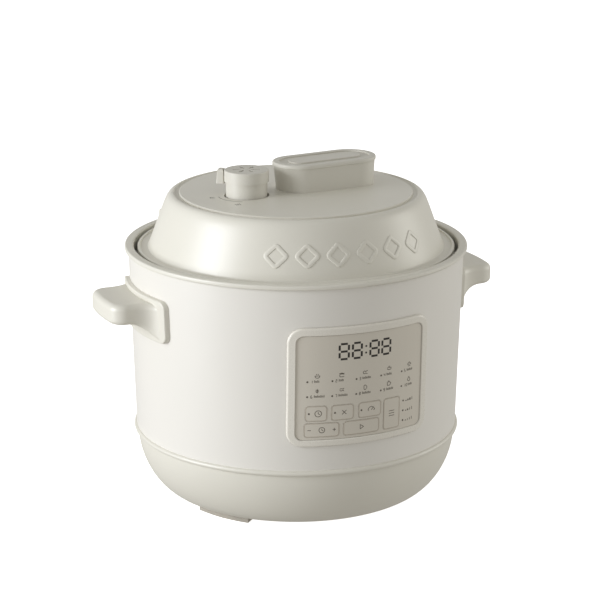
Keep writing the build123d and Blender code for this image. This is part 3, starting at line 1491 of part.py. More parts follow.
with BuildPart() as knob_cap:
    post(knob_x, knob_y, knob_cap_radius, knob_cap_bottom, knob_cap_top)
    fillet(knob_cap.faces().sort_by(Axis.Z)[-1].edges(), radius=knob_cap_round)
    post(knob_x, knob_y, knob_cap_radius - knob_wall, knob_cap_bottom, knob_cap_top - knob_wall,
         mode=Mode.SUBTRACT)
    add(knob_tab.part)
    with BuildSketch(Plane.XY.offset(knob_cap_top - knob_wall)):
        with Locations((knob_x, knob_y)):
            with PolarLocations((petal_inner + petal_outer) / 2, knob_petals, start_angle=petal_start_angle):
                SlotOverall(petal_outer - petal_inner, petal_width)
    extrude(amount=knob_wall, mode=Mode.SUBTRACT)
knob_cap.part.label = "knob_cap"
export_step(knob_cap.part, "parts/knob_cap.step")
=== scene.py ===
from math import ceil, cos, radians, sin

import bmesh
import bpy
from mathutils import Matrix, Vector
from mathutils.bvhtree import BVHTree


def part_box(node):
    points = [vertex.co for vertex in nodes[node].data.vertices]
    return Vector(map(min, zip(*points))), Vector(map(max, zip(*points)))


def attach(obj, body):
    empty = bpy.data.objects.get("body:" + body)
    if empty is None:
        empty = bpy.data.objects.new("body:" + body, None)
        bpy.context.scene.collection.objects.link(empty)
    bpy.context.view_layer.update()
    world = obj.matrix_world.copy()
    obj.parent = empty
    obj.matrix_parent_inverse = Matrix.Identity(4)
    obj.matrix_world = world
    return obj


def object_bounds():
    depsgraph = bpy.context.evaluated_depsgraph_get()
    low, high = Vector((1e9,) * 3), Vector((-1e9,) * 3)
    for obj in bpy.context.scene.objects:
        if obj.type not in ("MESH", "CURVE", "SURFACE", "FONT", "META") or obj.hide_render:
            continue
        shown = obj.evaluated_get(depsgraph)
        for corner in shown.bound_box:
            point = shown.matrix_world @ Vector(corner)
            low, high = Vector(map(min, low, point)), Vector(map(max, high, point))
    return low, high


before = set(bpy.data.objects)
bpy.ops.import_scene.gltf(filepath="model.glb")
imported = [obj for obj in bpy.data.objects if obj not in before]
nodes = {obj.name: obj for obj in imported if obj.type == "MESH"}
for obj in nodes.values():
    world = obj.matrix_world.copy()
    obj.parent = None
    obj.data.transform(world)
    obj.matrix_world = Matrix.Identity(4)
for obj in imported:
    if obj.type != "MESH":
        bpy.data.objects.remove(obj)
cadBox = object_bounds()
mm = 0.001
micrometre = 1e-6
print("frame loaded:", len(nodes), "nodes")


def linear(hexColour):
    # sRGB hex to linear light
    channels = [int(hexColour[start:start + 2], 16) / 255 for start in (1, 3, 5)]
    return tuple(c / 12.92 if c <= 0.04045 else ((c + 0.055) / 1.055) ** 2.4 for c in channels) + (1.0,)


def addNode(tree, kind, settings=None, links=None):
    # one node with its settings and its incoming links
    node = tree.nodes.new(kind)
    for name, value in (settings or {}).items():
        if name in node.inputs:
            node.inputs[name].default_value = value
        else:
            setattr(node, name, value)
    for name, source in (links or {}).items():
        tree.links.new(source, node.inputs[name])
    return node


camera = dict(
    place=(-0.7004, -1.6582, 0.6788), tilt=74.07, turn=-22.9, lens=131.4, sensor=36.0, shift=0.0067,
    farthest=50,
)


def makeCamera():
    data = bpy.data.cameras.new("studioCamera")
    data.lens = camera["lens"]
    data.sensor_width = camera["sensor"]
    data.shift_x = camera["shift"]
    data.clip_end = camera["farthest"]
    viewer = bpy.data.objects.new("studioCamera", data)
    viewer.location = camera["place"]
    viewer.rotation_euler = (radians(camera["tilt"]), 0, radians(camera["turn"]))
    bpy.context.scene.collection.objects.link(viewer)
    bpy.context.scene.camera = viewer


makeCamera()
print("camera placed")

studio = dict(
    floorSize=14.0,
    floorDrop=0.05,
    floorColour="#FFFFFF",
    floorRoughness=0.9,
    floorGlow=0.85,
    skySpan=0.8,
    zenith=("#FFFEFB", 0.45),
    horizon=("#FFFEFC", 0.60),
    ground=("#FDF8EF", 0.40),
    aimHeight=0.14,
)
softboxes = [
    dict(name="leftSoftbox", turn=-90, height=0.45, distance=1.9, size=(0.8, 1.2), power=35,
         colour="#F6F9FF"),
    dict(name="rightFill", turn=80, height=0.6, distance=2.2, size=(0.9, 1.4), power=12, colour="#FFFEF8"),
]


def makeFloor():
    half = studio["floorSize"] / 2
    mesh = bpy.data.meshes.new("studioFloor")
    mesh.from_pydata([(-half, -half, 0), (half, -half, 0), (half, half, 0), (-half, half, 0)], [],
                     [(0, 1, 2, 3)])
    floor = bpy.data.objects.new("studioFloor", mesh)
    floor.location.z = cadBox[0].z - studio["floorDrop"] * mm
    bpy.context.scene.collection.objects.link(floor)
    material = bpy.data.materials.new("paperSweep")
    material.use_nodes = True
    shader = material.node_tree.nodes["Principled BSDF"]
    shader.inputs["Base Color"].default_value = linear(studio["floorColour"])
    shader.inputs["Roughness"].default_value = studio["floorRoughness"]
    shader.inputs["Emission Color"].default_value = linear(studio["floorColour"])
    shader.inputs["Emission Strength"].default_value = studio["floorGlow"]
    mesh.materials.append(material)
    floor.visible_diffuse = False
    floor.visible_glossy = False


def makeSky():
    # brightest at eye level, softer overhead and below
    world = bpy.data.worlds.new("studioRoom")
    world.use_nodes = True
    bpy.context.scene.world = world
    tree = world.node_tree
    tree.nodes.clear()
    place = addNode(tree, "ShaderNodeTexCoord")
    axes = addNode(tree, "ShaderNodeSeparateXYZ", links={"Vector": place.outputs["Generated"]})
    rise = addNode(tree, "ShaderNodeMapRange",
                   {"From Min": -studio["skySpan"], "From Max": studio["skySpan"]},
                   {"Value": axes.outputs["Z"]})
    ramp = addNode(tree, "ShaderNodeValToRGB", links={"Fac": rise.outputs["Result"]})
    ramp.color_ramp.elements.new(0.5)
    for element, (colour, strength) in zip(ramp.color_ramp.elements,
                                           (studio["ground"], studio["horizon"], studio["zenith"])):
        element.color = [channel * strength for channel in linear(colour)[:3]] + [1]
    glow = addNode(tree, "ShaderNodeBackground", links={"Color": ramp.outputs["Color"]})
    addNode(tree, "ShaderNodeOutputWorld", links={"Surface": glow.outputs["Background"]})


def makeSoftbox(box):
    light = bpy.data.lights.new(box["name"], "AREA")
    light.shape = "RECTANGLE"
    light.size, light.size_y = box["size"]
    light.energy = box["power"]
    light.color = linear(box["colour"])[:3]
    lamp = bpy.data.objects.new(box["name"], light)
    turn = radians(box["turn"])
    lamp.location = (box["distance"] * sin(turn), -box["distance"] * cos(turn), box["height"])
    aim = Vector((0, 0, studio["aimHeight"])) - lamp.location
    lamp.rotation_euler = aim.to_track_quat("-Z", "Y").to_euler()
    bpy.context.scene.collection.objects.link(lamp)


makeFloor()
makeSky()
for box in softboxes:
    makeSoftbox(box)
bpy.context.scene.view_settings.view_transform = "Standard"
print("studio lit")


def startMaterial(name):
    material = bpy.data.materials.new(name)
    material.use_nodes = True
    tree = material.node_tree
    tree.nodes.clear()
    place = addNode(tree, "ShaderNodeTexCoord")
    return material, tree, place.outputs["Object"]


def noiseAt(tree, place, acrossMm, detail=2.0):
    return addNode(tree, "ShaderNodeTexNoise", {"Scale": 1 / (acrossMm * mm), "Detail": detail},
                   {"Vector": place})


noiseSpan = dict(low=0.3, high=0.7)


def swing(tree, noise, middle, reach):
    # the noise as a value that goes from middle - reach to middle + reach
    span = addNode(tree, "ShaderNodeMapRange",
                   {"From Min": noiseSpan["low"], "From Max": noiseSpan["high"], "To Min": middle - reach,
                    "To Max": middle + reach},
                   {"Value": noise.outputs["Fac"]})
    return span.outputs["Result"]


def closeMaterial(tree, look, drift, relief, depthUm):
    # the drift sways the shade, and the relief sways the roughness and the height
    tint = addNode(tree, "ShaderNodeHueSaturation", {"Color": linear(look["colour"])},
                   {"Value": swing(tree, drift, 1, look["drift"])})
    bump = addNode(tree, "ShaderNodeBump", {"Strength": 1.0, "Distance": depthUm * micrometre},
                   {"Height": relief.outputs["Fac"]})
    shader = addNode(tree, "ShaderNodeBsdfPrincipled", look.get("shader"),
                     {"Base Color": tint.outputs["Color"],
                      "Roughness": swing(tree, relief, look["roughness"], look["spread"]),
                      "Normal": bump.outputs["Normal"]})
    addNode(tree, "ShaderNodeOutputMaterial", links={"Surface": shader.outputs["BSDF"]})


def grainedSurface(name, look):
    # fine grain in the height and roughness, slow drift in the shade
    material, tree, place = startMaterial(name)
    drift = noiseAt(tree, place, look["driftMm"])
    grain = noiseAt(tree, place, look["grainMm"], detail=3.0)
    closeMaterial(tree, look, drift, grain, look["grainUm"])
    return material


def turnedSurface(name, look):
    # rings about the cooker's axis, as a spinning lathe or a brushing wheel leaves them
    material, tree, place = startMaterial(name)
    flat = addNode(tree, "ShaderNodeVectorMath", {"operation": "MULTIPLY"}, {0: place})
    flat.inputs[1].default_value = (1, 1, 0)
    reach = addNode(tree, "ShaderNodeVectorMath", {"operation": "LENGTH"}, {0: flat.outputs["Vector"]})
    axes = addNode(tree, "ShaderNodeSeparateXYZ", links={"Vector": place})
    ringPlace = addNode(tree, "ShaderNodeCombineXYZ",
                        links={"X": reach.outputs["Value"], "Z": axes.outputs["Z"]})
    drift = noiseAt(tree, place, look["driftMm"])
    lines = noiseAt(tree, ringPlace.outputs["Vector"], look["lineMm"], detail=4.0)
    closeMaterial(tree, look, drift, lines, look["lineUm"])
    return material


# Powder coat baked on sheet steel: a matte skin with a faint orange peel. The real peel is about 0.5 mm
# across, too fine to show, so it is drawn at 1.6 mm.
powderCoat = dict(
    colour="#E2DFD7", roughness=0.38, spread=0.02, drift=0.006, driftMm=60, grainMm=1.6, grainUm=10,
    shader={"IOR": 1.5, "Specular IOR Level": 0.9},
)

# Moulded polypropylene with a spark-eroded tool texture: a dry satin that scatters the softbox.
texturedPolypropylene = dict(
    colour="#DAD7CB", roughness=0.41, spread=0.03, drift=0.008, driftMm=45, grainMm=1.2, grainUm=12,
    shader={"IOR": 1.49, "Specular IOR Level": 0.9},
)

# Moulded ABS, finer texture than the shell and a shade darker, so it reads as a separate moulding.
satinAbs = dict(
    colour="#D0CDC2", roughness=0.44, spread=0.03, drift=0.01, driftMm=35, grainMm=0.9, grainUm=14,
    shader={"IOR": 1.54},
)

# Polished-tool ABS for the panel's frame: smooth enough that its rounded edge catches a line of light.
bezelAbs = dict(
    colour="#E2DED3", roughness=0.28, spread=0.03, drift=0.006, driftMm=40, grainMm=0.9, grainUm=5,
    shader={"IOR": 1.54},
)

# Printed polycarbonate film over the panel: flat, slightly beige, with a soft velvet grain.
velvetFilm = dict(
    colour="#D1CBBE", roughness=0.5, spread=0.04, drift=0.008, driftMm=50, grainMm=0.8, grainUm=6,
    shader={"IOR": 1.58},
)

# Deep-drawn stainless sheet, brushed on a wheel: rings about 0.45 mm apart that pull highlights into fans.
brushedStainless = dict(
    colour="#C9C8C4", roughness=0.28, spread=0.09, drift=0.03, driftMm=30, lineMm=0.45, lineUm=14,
    shader={"Metallic": 1.0},
)

# Zinc-coated steel sheet: dull grey with cloudy patches of about 12 mm.
zincSheet = dict(
    colour="#AEB1B2", roughness=0.45, spread=0.1, drift=0.08, driftMm=12, grainMm=2.0, grainUm=10,
    shader={"Metallic": 1.0},
)

# Sprayed non-stick coating on an aluminium pot: near-black satin, faintly speckled.
nonStick = dict(
    colour="#3A3A3B", roughness=0.38, spread=0.06, drift=0.12, driftMm=1.4, grainMm=0.9, grainUm=16,
    shader={"IOR": 1.4},
)

# Cast aluminium heating plate, faced on a lathe: fine rings 0.6 mm apart.
facedAluminium = dict(
    colour="#B9B9B8", roughness=0.34, spread=0.08, drift=0.04, driftMm=25, lineMm=0.6, lineUm=20,
    shader={"Metallic": 1.0},
)

# Translucent silicone rubber, press-moulded: milky, soft edges, slightly tacky sheen.
milkySilicone = dict(
    colour="#E9E7E0", roughness=0.42, spread=0.05, drift=0.015, driftMm=20, grainMm=0.8, grainUm=8,
    shader={"IOR": 1.43, "Subsurface Weight": 0.25, "Subsurface Scale": 0.004},
)

# Nitrile rubber feet, moulded: dark greige, dusty and dull.
dullRubber = dict(
    colour="#A8A296", roughness=0.75, spread=0.06, drift=0.05, driftMm=8, grainMm=0.7, grainUm=20,
    shader={"IOR": 1.52},
)

# Zinc-plated screw steel: bright, with tumbling marks of about 0.6 mm.
platedSteel = dict(
    colour="#CFCFCC", roughness=0.25, spread=0.08, drift=0.04, driftMm=5, grainMm=0.6, grainUm=8,
    shader={"Metallic": 1.0},
)

# Stamped brass: warm yellow with dulled, handled patches.
stampedBrass = dict(
    colour="#C9A45C", roughness=0.3, spread=0.08, drift=0.06, driftMm=6, grainMm=0.6, grainUm=8,
    shader={"Metallic": 1.0},
)

# Glass-filled black polyamide: dark satin with a slight mottling from the fibres.
blackPolyamide = dict(
    colour="#1D1C1B", roughness=0.42, spread=0.08, drift=0.1, driftMm=6, grainMm=0.7, grainUm=14,
    shader={"IOR": 1.53},
)

# Fibreglass board under green solder mask: the weave, 0.5 mm in the real one, is drawn at 1 mm.
solderMask = dict(
    colour="#2E6B3C", roughness=0.35, spread=0.08, drift=0.08, driftMm=4, grainMm=1.0, grainUm=12,
    shader={"IOR": 1.5},
)

# Clear epoxy of the indicator lamps: glassy and pale.
clearEpoxy = dict(
    colour="#F0EFE6", roughness=0.12, spread=0.04, drift=0.02, driftMm=2, grainMm=0.5, grainUm=2,
    shader={"IOR": 1.51, "Transmission Weight": 0.5},
)

# Extruded PVC insulation: smooth, slightly waxy.
pvcInsulation = dict(
    colour="#B7462F", roughness=0.4, spread=0.05, drift=0.04, driftMm=10, grainMm=1.5, grainUm=6,
    shader={"IOR": 1.54},
)

# Screen-printed ink, grey-brown for signs and paler for outlines: thin, with uneven cover from the mesh.
greyInk = dict(
    colour="#575045", roughness=0.55, spread=0.06, drift=0.05, driftMm=3, grainMm=0.5, grainUm=2,
)
lineInk = dict(
    colour="#B3A999", roughness=0.55, spread=0.06, drift=0.05, driftMm=3, grainMm=0.5, grainUm=2,
)

# Unlit segments of a negative display showing through the film: nearly black, slightly warm.
segmentInk = dict(
    colour="#2A2620", roughness=0.45, spread=0.05, drift=0.04, driftMm=4, grainMm=0.5, grainUm=2,
)

finishes = {
    "powderCoat": (grainedSurface, powderCoat, ["housing"]),
    "texturedPolypropylene": (grainedSurface, texturedPolypropylene,
                              ["base_bowl", "collar", "lid_switch_housing", "left_side_handle",
                               "right_side_handle", "lid_cover"]),
    "satinAbs": (grainedSurface, satinAbs, ["lid_handle_body", "lid_handle_cap", "knob_cap", "knob_stem"]),
    "bezelAbs": (grainedSurface, bezelAbs, ["panel_bezel"]),
    "velvetFilm": (grainedSurface, velvetFilm,
                   ["panel_plate", "key_delay", "key_cancel", "key_pressure", "key_texture", "key_start",
                    "key_time"]),
    "brushedStainless": (turnedSurface, brushedStainless,
                         ["pressure_lid", "locking_ring", "seal_rack", "steam_pipe", "steam_pipe_nut",
                          "anti_block_shield", "knob_weight", "float_valve", "temperature_sensor",
                          "sensor_spring", "lid_magnet"]),
    "zincSheet": (grainedSurface, zincSheet,
                  ["outer_pot", "heater_bracket", "bottom_cover", "sensor_holder", "thermal_fuse"]),
    "nonStick": (grainedSurface, nonStick, ["inner_pot"]),
    "facedAluminium": (turnedSurface, facedAluminium, ["heating_plate"]),
    "milkySilicone": (grainedSurface, milkySilicone, ["sealing_ring", "float_seal"]),
    "dullRubber": (grainedSurface, dullRubber, ["rubber_feet"]),
    "platedSteel": (grainedSurface, platedSteel,
                    ["bottom_cover_screws", "side_handle_screws", "locking_ring_screws", "bracket_bolts",
                     "lid_handle_screws"]),
    "stampedBrass": (grainedSurface, stampedBrass, ["inlet_pins", "heater_terminals"]),
    "blackPolyamide": (grainedSurface, blackPolyamide,
                       ["inlet_socket", "display_module", "tact_switches", "lid_switch", "board_components"]),
    "solderMask": (grainedSurface, solderMask, ["control_board", "power_board"]),
    "clearEpoxy": (grainedSurface, clearEpoxy, ["indicator_leds"]),
    "pvcInsulation": (grainedSurface, pvcInsulation, ["mains_leads", "heater_leads", "ribbon_cable"]),
    "greyInk": (grainedSurface, greyInk, []),
    "lineInk": (grainedSurface, lineInk, []),
    "segmentInk": (grainedSurface, segmentInk, []),
}
materials = {}
for name, (make, look, members) in finishes.items():
    materials[name] = make(name, look)
    for member in members:
        slots = nodes[member].material_slots
        for slot in slots:
            slot.material = materials[name]
        if not slots:
            nodes[member].data.materials.append(materials[name])
print("materials made:", len(materials))


def surfaceOf(name):
    mesh = nodes[name].data
    corners = [vertex.co.copy() for vertex in mesh.vertices]
    return BVHTree.FromPolygons(corners, [list(polygon.vertices) for polygon in mesh.polygons])


# A lander takes a flat place in millimetres and gives the spot on the piece with its outward direction.
# Its rays start this far outside the cooker, in metres.
rayMargin = 0.05


def frontLander(name):
    # across and up, seen from the front
    surface = surfaceOf(name)
    far = cadBox[0].y - rayMargin

    def land(across, up):
        spot = surface.ray_cast(Vector((across * mm, far, up * mm)), Vector((0, 1, 0)))[0]
        return spot, Vector((spot.x, spot.y, 0)).normalized()
    return land


def topLander(name):
    # across and away, seen from above
    surface = surfaceOf(name)
    far = cadBox[1].z + rayMargin

    def land(across, away):
        spot = surface.ray_cast(Vector((across * mm, away * mm, far)), Vector((0, 0, -1)))[0]
        return spot, Vector((0, 0, 1))
    return land


def coneLander(name, radius, lean):
    # across is measured round the cone from its front, at the given radius
    surface = surfaceOf(name)
    far = cadBox[1].x + rayMargin

    def land(across, up):
        turn = across / radius
        outward = Vector((sin(turn), -cos(turn), 0))
        spot = surface.ray_cast(Vector((0, 0, up * mm)) + outward * far, -outward)[0]
        return spot, Vector((outward.x, outward.y, lean)).normalized()
    return land


def spread(points, step, closed=False):
    # the same path with points no further apart than step
    path = [Vector(point) for point in points]
    ends = path[1:] + path[:1] if closed else path[1:]
    dense = []
    for start, end in zip(path, ends):
        pieces = max(1, ceil((end - start).length / step))
        dense += [start.lerp(end, index / pieces) for index in range(pieces)]
    return dense if closed else dense + [path[-1]]


def arc(centre, radius, start, end, count=12):
    angles = [radians(start + (end - start) * index / count) for index in range(count + 1)]
    return [(centre[0] + radius * cos(angle), centre[1] + radius * sin(angle)) for angle in angles]


cornerPieces = 6


def roundedBox(left, right, low, high, corner):
    path = []
    for centre, start in (((right - corner, high - corner), 0), ((left + corner, high - corner), 90),
                          ((left + corner, low + corner), 180), ((right - corner, low + corner), 270)):
        path += arc(centre, corner, start, start + 90, cornerPieces)
    return path


# how sharp a corner may be before the strip is let narrow there
sharpestMitre = 0.6


def sweepOn(shape, path, section, land, closed=False):
    # carries a small cross-section of (across, lift) pairs along a path on the surface
    rings = []
    for index, point in enumerate(path):
        before = path[index - 1] if closed or index > 0 else None
        after = path[(index + 1) % len(path)] if closed or index < len(path) - 1 else None
        arriving = (point - before).normalized() if before is not None else (after - point).normalized()
        leaving = (after - point).normalized() if after is not None else arriving
        heading = (arriving + leaving).normalized()
        side = Vector((-heading.y, heading.x)) / max(sharpestMitre, heading.dot(leaving))
        ring = []
        for across, lift in section:
            flat = point + side * across
            spot, outward = land(flat.x, flat.y)
            ring.append(shape.verts.new(spot + outward * lift * mm))
        rings.append(ring)
    pairs = list(zip(rings, rings[1:] + rings[:1])) if closed else list(zip(rings, rings[1:]))
    for ring, following in pairs:
        for index in range(len(section)):
            after = (index + 1) % len(section)
            shape.faces.new((ring[index], ring[after], following[after], following[index]))
    if not closed:
        shape.faces.new(list(reversed(rings[0])))
        shape.faces.new(rings[-1])


ink = dict(thick=0.05, crowned=0.8, dotSides=20, figureStep=1.2, signStroke=0.5, signStep=1.0)


def dotOn(shape, centre, radius, land):
    # a spot of ink, a little thicker in its middle
    thick = ink["thick"]
    middle, outward = land(*centre)
    crown = shape.verts.new(middle + outward * thick * mm)
    root = shape.verts.new(middle - outward * thick * mm)
    upper, lower = [], []
    for corner in arc(centre, radius, 0, 360, ink["dotSides"])[:-1]:
        spot, outward = land(*corner)
        upper.append(shape.verts.new(spot + outward * thick * ink["crowned"] * mm))
        lower.append(shape.verts.new(spot - outward * thick * mm))
    for index in range(len(upper)):
        after = (index + 1) % len(upper)
        shape.faces.new((crown, upper[index], upper[after]))
        shape.faces.new((root, lower[after], lower[index]))
        shape.faces.new((upper[index], lower[index], lower[after], upper[after]))


def inkSection(width):
    half, thick = width / 2, ink["thick"]
    return [(-half, -thick), (-half, thick), (half, thick), (half, -thick)]


def finishPiece(name, shape, material, body, smooth=False):
    bmesh.ops.recalc_face_normals(shape, faces=shape.faces)
    mesh = bpy.data.meshes.new(name)
    shape.to_mesh(mesh)
    shape.free()
    for polygon in mesh.polygons:
        polygon.use_smooth = smooth
    mesh.materials.append(materials[material])
    piece = bpy.data.objects.new(name, mesh)
    bpy.context.scene.collection.objects.link(piece)
    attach(piece, body)


segmentEnds = {"a": ((0, 2), (1, 2)), "b": ((1, 2), (1, 1)), "c": ((1, 1), (1, 0)), "d": ((0, 0), (1, 0)),
               "e": ((0, 1), (0, 0)), "f": ((0, 2), (0, 1)), "g": ((0, 1), (1, 1))}
litSegments = {"0": "abcdef", "1": "bc", "2": "abged", "3": "abgcd", "4": "fgbc", "5": "afgcd", "6": "afgecd",
               "7": "abc", "8": "abcdefg", "9": "abfgcd"}


def figureOn(shape, sign, left, low, figure, land):
    # one seven-segment figure with its lower left corner at (left, low)
    for letter in litSegments[sign]:
        start, end = [Vector((left + x * figure["width"], low + y * figure["height"] / 2))
                      for x, y in segmentEnds[letter]]
        gap = (end - start).normalized() * figure["gap"]
        sweepOn(shape, spread([start + gap, end - gap], ink["figureStep"]), inkSection(figure["stroke"]),
                land)


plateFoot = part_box("panel_plate")[0].z / mm
panel = dict(
    clockLeft=(-21.6, -10.6, 4.6, 15.4), clockLow=67.3, colonAcross=0.9, colonUp=(70.9, 76.4), colonDot=0.85,
    columns=(-46.5, -27.0, -7.0, 15.0, 35.0), rows=(49.45, 36.75), dot=0.8,
    iconAcross=7.6, iconUp=4.8, iconSize=2.1,
    numberAcross=2.6, numberPitch=2.1, numberDrop=1.1,
    tickAcross=5.4, tickShift=1.7, tickCounts=(5, 5, 9, 6, 7, 10, 9, 9, 8, 5),
    tickUp=(-0.65, 0.95), longTick=0.45, longTickEvery=3, tickStroke=0.46, tickPitch=0.85,
    levelAcross=37.3, levels=(23.85, 15.35, 6.85),
    bars=4, barAcross=3.0, barPitch=2.1, barUp=(-1.0, -0.2), barRise=0.6, barStrokes=(1.25, 0.5),
)
clockFigure = dict(width=7.6, height=12.7, stroke=1.75, gap=1.0)
smallFigure = dict(width=1.1, height=2.3, stroke=0.42, gap=0.15)
keyOutline = dict(inset=0.45, stroke=0.5, corner=2.2, step=1.5)


def line(*points):
    return [Vector(point) for point in points]


# simple pictures in a box from -1 to 1, one per programme
pictures = [
    [arc((0, 0.1), 0.9, 180, 360), line((-1, 0.1), (1, 0.1)), line((-0.3, 0.45), (-0.3, 0.9)),
     line((0.3, 0.45), (0.3, 0.9))],
    [roundedBox(-0.8, 0.8, -0.8, 0.3, 0.25), line((-1, 0.55), (1, 0.55)), line((0, 0.6), (0, 0.95))],
    [arc((-0.35, 0), 0.55, 30, 330), line((0.1, 0.25), (0.9, 0.7)), line((0.1, -0.25), (0.9, -0.7))],
    [arc((0, 0.6), 1.1, 210, 330), line((-0.95, 0.35), (0.95, 0.35)), arc((0, 0.5), 0.4, 20, 160)],
    [arc((0, -0.1), 0.75, 0, 180), line((-0.9, -0.1), (0.9, -0.1)), line((-0.6, -0.75), (0.6, -0.75)),
     line((0, 0.65), (0, 0.95))],
    [line((0, -0.9), (0, 0.9)), line((-0.6, 0.5), (0, 0.05), (0.6, 0.5)),
     line((-0.6, -0.1), (0, -0.55), (0.6, -0.1))],
    [arc((-0.15, -0.5), 0.95, 50, 130), arc((-0.15, 0.5), 0.95, 230, 310), line((0.5, 0.2), (0.95, 0.55)),
     line((0.5, -0.2), (0.95, -0.55))],
    [roundedBox(-0.45, 0.45, -0.9, 0.9, 0.4), line((0.7, -0.5), (0.7, 0.5))],
    [roundedBox(-0.75, 0.45, -0.8, 0.6, 0.3), arc((0.45, 0), 0.4, -90, 90), line((-0.5, 0.95), (0.2, 0.95))],
    [arc((0, -0.25), 0.6, 150, 390), line((-0.52, 0.05), (0, 0.95), (0.52, 0.05))],
]


def pictureOn(shape, picture, centre, size, land):
    for outline in picture:
        points = [(centre[0] + size * x, centre[1] + size * y) for x, y in outline]
        sweepOn(shape, spread(points, ink["signStep"]), inkSection(ink["signStroke"]), land)


def ticksOn(shape, left, level, count, land):
    # a row of short marks, as on a time scale
    low, high = panel["tickUp"]
    for index in range(count):
        across = left + index * panel["tickPitch"]
        rise = high if index % panel["longTickEvery"] else high + panel["longTick"]
        sweepOn(shape, spread([(across, level + low), (across, level + rise)], ink["signStep"]),
                inkSection(panel["tickStroke"]), land)


def barsOn(shape, left, level, heavy, land):
    # rising bars, of which the first few are heavy
    foot, head = panel["barUp"]
    for bar in range(panel["bars"]):
        across = left + panel["barPitch"] * bar
        top = level + head + panel["barRise"] * bar
        sweepOn(shape, spread([(across, level + foot), (across, top)], ink["signStep"]),
                inkSection(panel["barStrokes"][0 if bar < heavy else 1]), land)


def makePanelPrint():
    land = frontLander("panel_plate")
    clock = bmesh.new()
    for left in panel["clockLeft"]:
        figureOn(clock, "8", left, plateFoot + panel["clockLow"], clockFigure, land)
    for up in panel["colonUp"]:
        dotOn(clock, (panel["colonAcross"], plateFoot + up), panel["colonDot"], land)
    finishPiece("clockFigures", clock, "segmentInk", "root")

    lamps = bmesh.new()
    legend = bmesh.new()
    places = [(across, plateFoot + up) for up in panel["rows"] for across in panel["columns"]]
    for index, (across, level) in enumerate(places):
        dotOn(lamps, (across, level), panel["dot"], land)
        pictureOn(legend, pictures[index], (across + panel["iconAcross"], level + panel["iconUp"]),
                  panel["iconSize"], land)
        number = str(index + 1)
        for digit, sign in enumerate(number):
            figureOn(legend, sign, across + panel["numberAcross"] + panel["numberPitch"] * digit,
                     level - panel["numberDrop"], smallFigure, land)
        ticksOn(legend, across + panel["tickAcross"] + panel["tickShift"] * (len(number) - 1), level,
                panel["tickCounts"][index], land)
    for step, up in enumerate(panel["levels"]):
        level = plateFoot + up
        dotOn(lamps, (panel["levelAcross"], level), panel["dot"], land)
        barsOn(legend, panel["levelAcross"] + panel["barAcross"], level, len(panel["levels"]) - step, land)
    finishPiece("lampDots", lamps, "greyInk", "root")
    finishPiece("panelLegend", legend, "greyInk", "root")


clockFace = [arc((0, 0), 1, 90, 450, 20), line((0, 0.6), (0, 0), (0.5, -0.3))]
crossMark = [line((-0.8, -0.8), (0.8, 0.8)), line((-0.8, 0.8), (0.8, -0.8))]
dial = [arc((0, -0.3), 1, 0, 180, 16), line((0, -0.3), (0.5, 0.35)), line((-1, -0.3), (-0.7, -0.3)),
        line((0.7, -0.3), (1, -0.3))]
startArrow = [line((-0.6, -0.9), (0.8, 0), (-0.6, 0.9), (-0.6, -0.9))]
threeLines = [line((-1, -0.8), (1, -0.8)), line((-1, 0), (1, 0)), line((-1, 0.8), (1, 0.8))]
minusMark = [line((-1, 0), (1, 0))]
plusMark = minusMark + [line((0, -1), (0, 1))]

# flange is the part of the key hidden behind the plate, at its sides and at its top and foot
keySigns = {
    "key_delay": dict(flange=(1.0, 0.5), lamp=-5.6, sign=clockFace, across=1.6, size=2.6),
    "key_cancel": dict(flange=(1.0, 0.5), lamp=-6.2, sign=crossMark, across=1.4, size=2.2),
    "key_pressure": dict(flange=(1.0, 0.5), lamp=-7.6, sign=dial, across=1.2, size=2.9),
    "key_start": dict(flange=(1.0, 0.5), lamp=None, sign=startArrow, across=0.0, size=2.1),
    "key_texture": dict(flange=(1.0, 0.5), lamp=None, sign=threeLines, across=0.0, size=2.6),
    "key_time": dict(flange=(0.0, 0.0), lamp=None, sign=clockFace, across=0.0, size=2.3),
}
rockerSigns = dict(fromEnd=3.6, minusSize=1.4, plusSize=1.3)


def makeKeyPrint():
    for name, key in keySigns.items():
        low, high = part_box(name)
        side, lip = key["flange"]
        inset = keyOutline["inset"]
        left, right = low.x / mm + side + inset, high.x / mm - side - inset
        foot, head = low.z / mm + lip + inset, high.z / mm - lip - inset
        land = frontLander(name)
        outline = bmesh.new()
        path = spread(roundedBox(left, right, foot, head, keyOutline["corner"]), keyOutline["step"],
                      closed=True)
        sweepOn(outline, path, inkSection(keyOutline["stroke"]), land, closed=True)
        finishPiece(name + "_outline", outline, "lineInk", name)
        sign = bmesh.new()
        middle, level = (left + right) / 2, (foot + head) / 2
        pictureOn(sign, key["sign"], (middle + key["across"], level), key["size"], land)
        if key["lamp"] is not None:
            dotOn(sign, (middle + key["lamp"], level), panel["dot"], land)
        if name == "key_time":
            reach = (right - left) / 2 - rockerSigns["fromEnd"]
            pictureOn(sign, minusMark, (middle - reach, level), rockerSigns["minusSize"], land)
            pictureOn(sign, plusMark, (middle + reach, level), rockerSigns["plusSize"], land)
        finishPiece(name + "_sign", sign, "greyInk", name)


makePanelPrint()
makeKeyPrint()
print("panel printed")

knobLow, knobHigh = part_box("knob_stem")
padlock = [roundedBox(-0.8, 0.8, -0.9, 0.2, 0.2), arc((0, 0.2), 0.5, 0, 180)]
steam = [line((x - 0.15, -0.9), (x + 0.15, -0.3), (x - 0.15, 0.3), (x + 0.15, 0.9)) for x in (-0.7, 0, 0.7)]

# each sign stands at a turn in degrees and a reach from the knob's axis
knobMarks = dict(
    radius=23.8, start=170.0, end=240.0, pieces=20, step=2.0, stroke=0.6, size=2.5,
    signs=((padlock, 172.0, 29.5), (steam, 236.0, 33.0)),
)


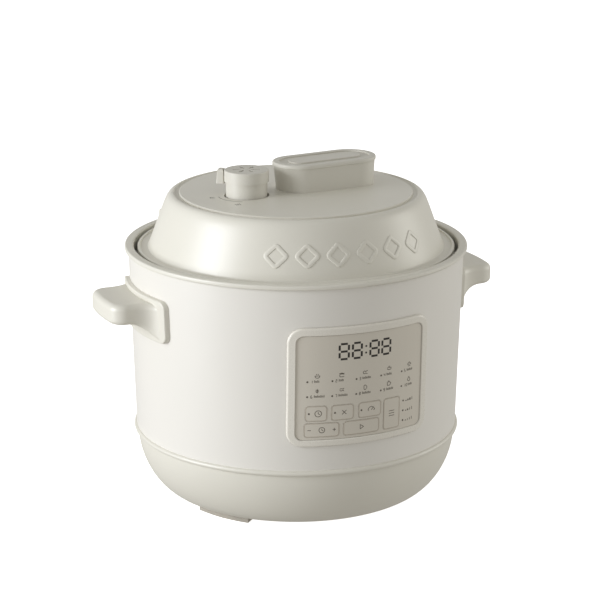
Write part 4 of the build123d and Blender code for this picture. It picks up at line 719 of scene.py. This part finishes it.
def makeKnobMarks():
    land = topLander("lid_cover")
    centre = ((knobLow.x + knobHigh.x) / 2 / mm, (knobLow.y + knobHigh.y) / 2 / mm)
    marks = bmesh.new()
    track = arc(centre, knobMarks["radius"], knobMarks["start"], knobMarks["end"], knobMarks["pieces"])
    sweepOn(marks, spread(track, knobMarks["step"]), inkSection(knobMarks["stroke"]), land)
    for sign, turn, reach in knobMarks["signs"]:
        spot = (centre[0] + reach * cos(radians(turn)), centre[1] + reach * sin(radians(turn)))
        pictureOn(marks, sign, spot, knobMarks["size"], land)
    finishPiece("knobMarks", marks, "greyInk", "lid")


# profile holds the shares of the half stroke and of the lift from the strip's edge to its crown
lidPattern = dict(
    count=6, pitch=25.5, width=18.0, height=16.5, stroke=3.6, lift=0.6, sink=0.4, middle=234.5, radius=119.0,
    lean=0.35, corner=2.2, cornerPieces=5, step=1.2, profile=((0.92, 0.55), (0.68, 0.92)),
)


def softened(corners, cut, pieces):
    # each corner of a closed outline turned into a short curve
    path = []
    for index, corner in enumerate(corners):
        here = Vector(corner)
        before = Vector(corners[index - 1])
        after = Vector(corners[(index + 1) % len(corners)])
        entry, leave = here + (before - here).normalized() * cut, here + (after - here).normalized() * cut
        for step in range(pieces + 1):
            share = step / pieces
            path.append((1 - share) ** 2 * entry + 2 * share * (1 - share) * here + share ** 2 * leave)
    return path


def makeLidPattern():
    land = coneLander("lid_cover", lidPattern["radius"], lidPattern["lean"])
    half, lift, sink = lidPattern["stroke"] / 2, lidPattern["lift"], lidPattern["sink"]
    rise = [(half * across, lift * up) for across, up in lidPattern["profile"]]
    section = [(-half, -sink), *[(-across, up) for across, up in rise], (0, lift), *reversed(rise),
               (half, -sink)]
    wide, tall, level = lidPattern["width"] / 2, lidPattern["height"] / 2, lidPattern["middle"]
    pattern = bmesh.new()
    for index in range(lidPattern["count"]):
        middle = (index - (lidPattern["count"] - 1) / 2) * lidPattern["pitch"]
        corners = [(middle + wide, level), (middle, level + tall), (middle - wide, level),
                   (middle, level - tall)]
        outline = softened(corners, lidPattern["corner"], lidPattern["cornerPieces"])
        sweepOn(pattern, spread(outline, lidPattern["step"], closed=True), section, land, closed=True)
    finishPiece("raisedLozenges", pattern, "texturedPolypropylene", "lid", smooth=True)


makeKnobMarks()
makeLidPattern()
print("lid marked")
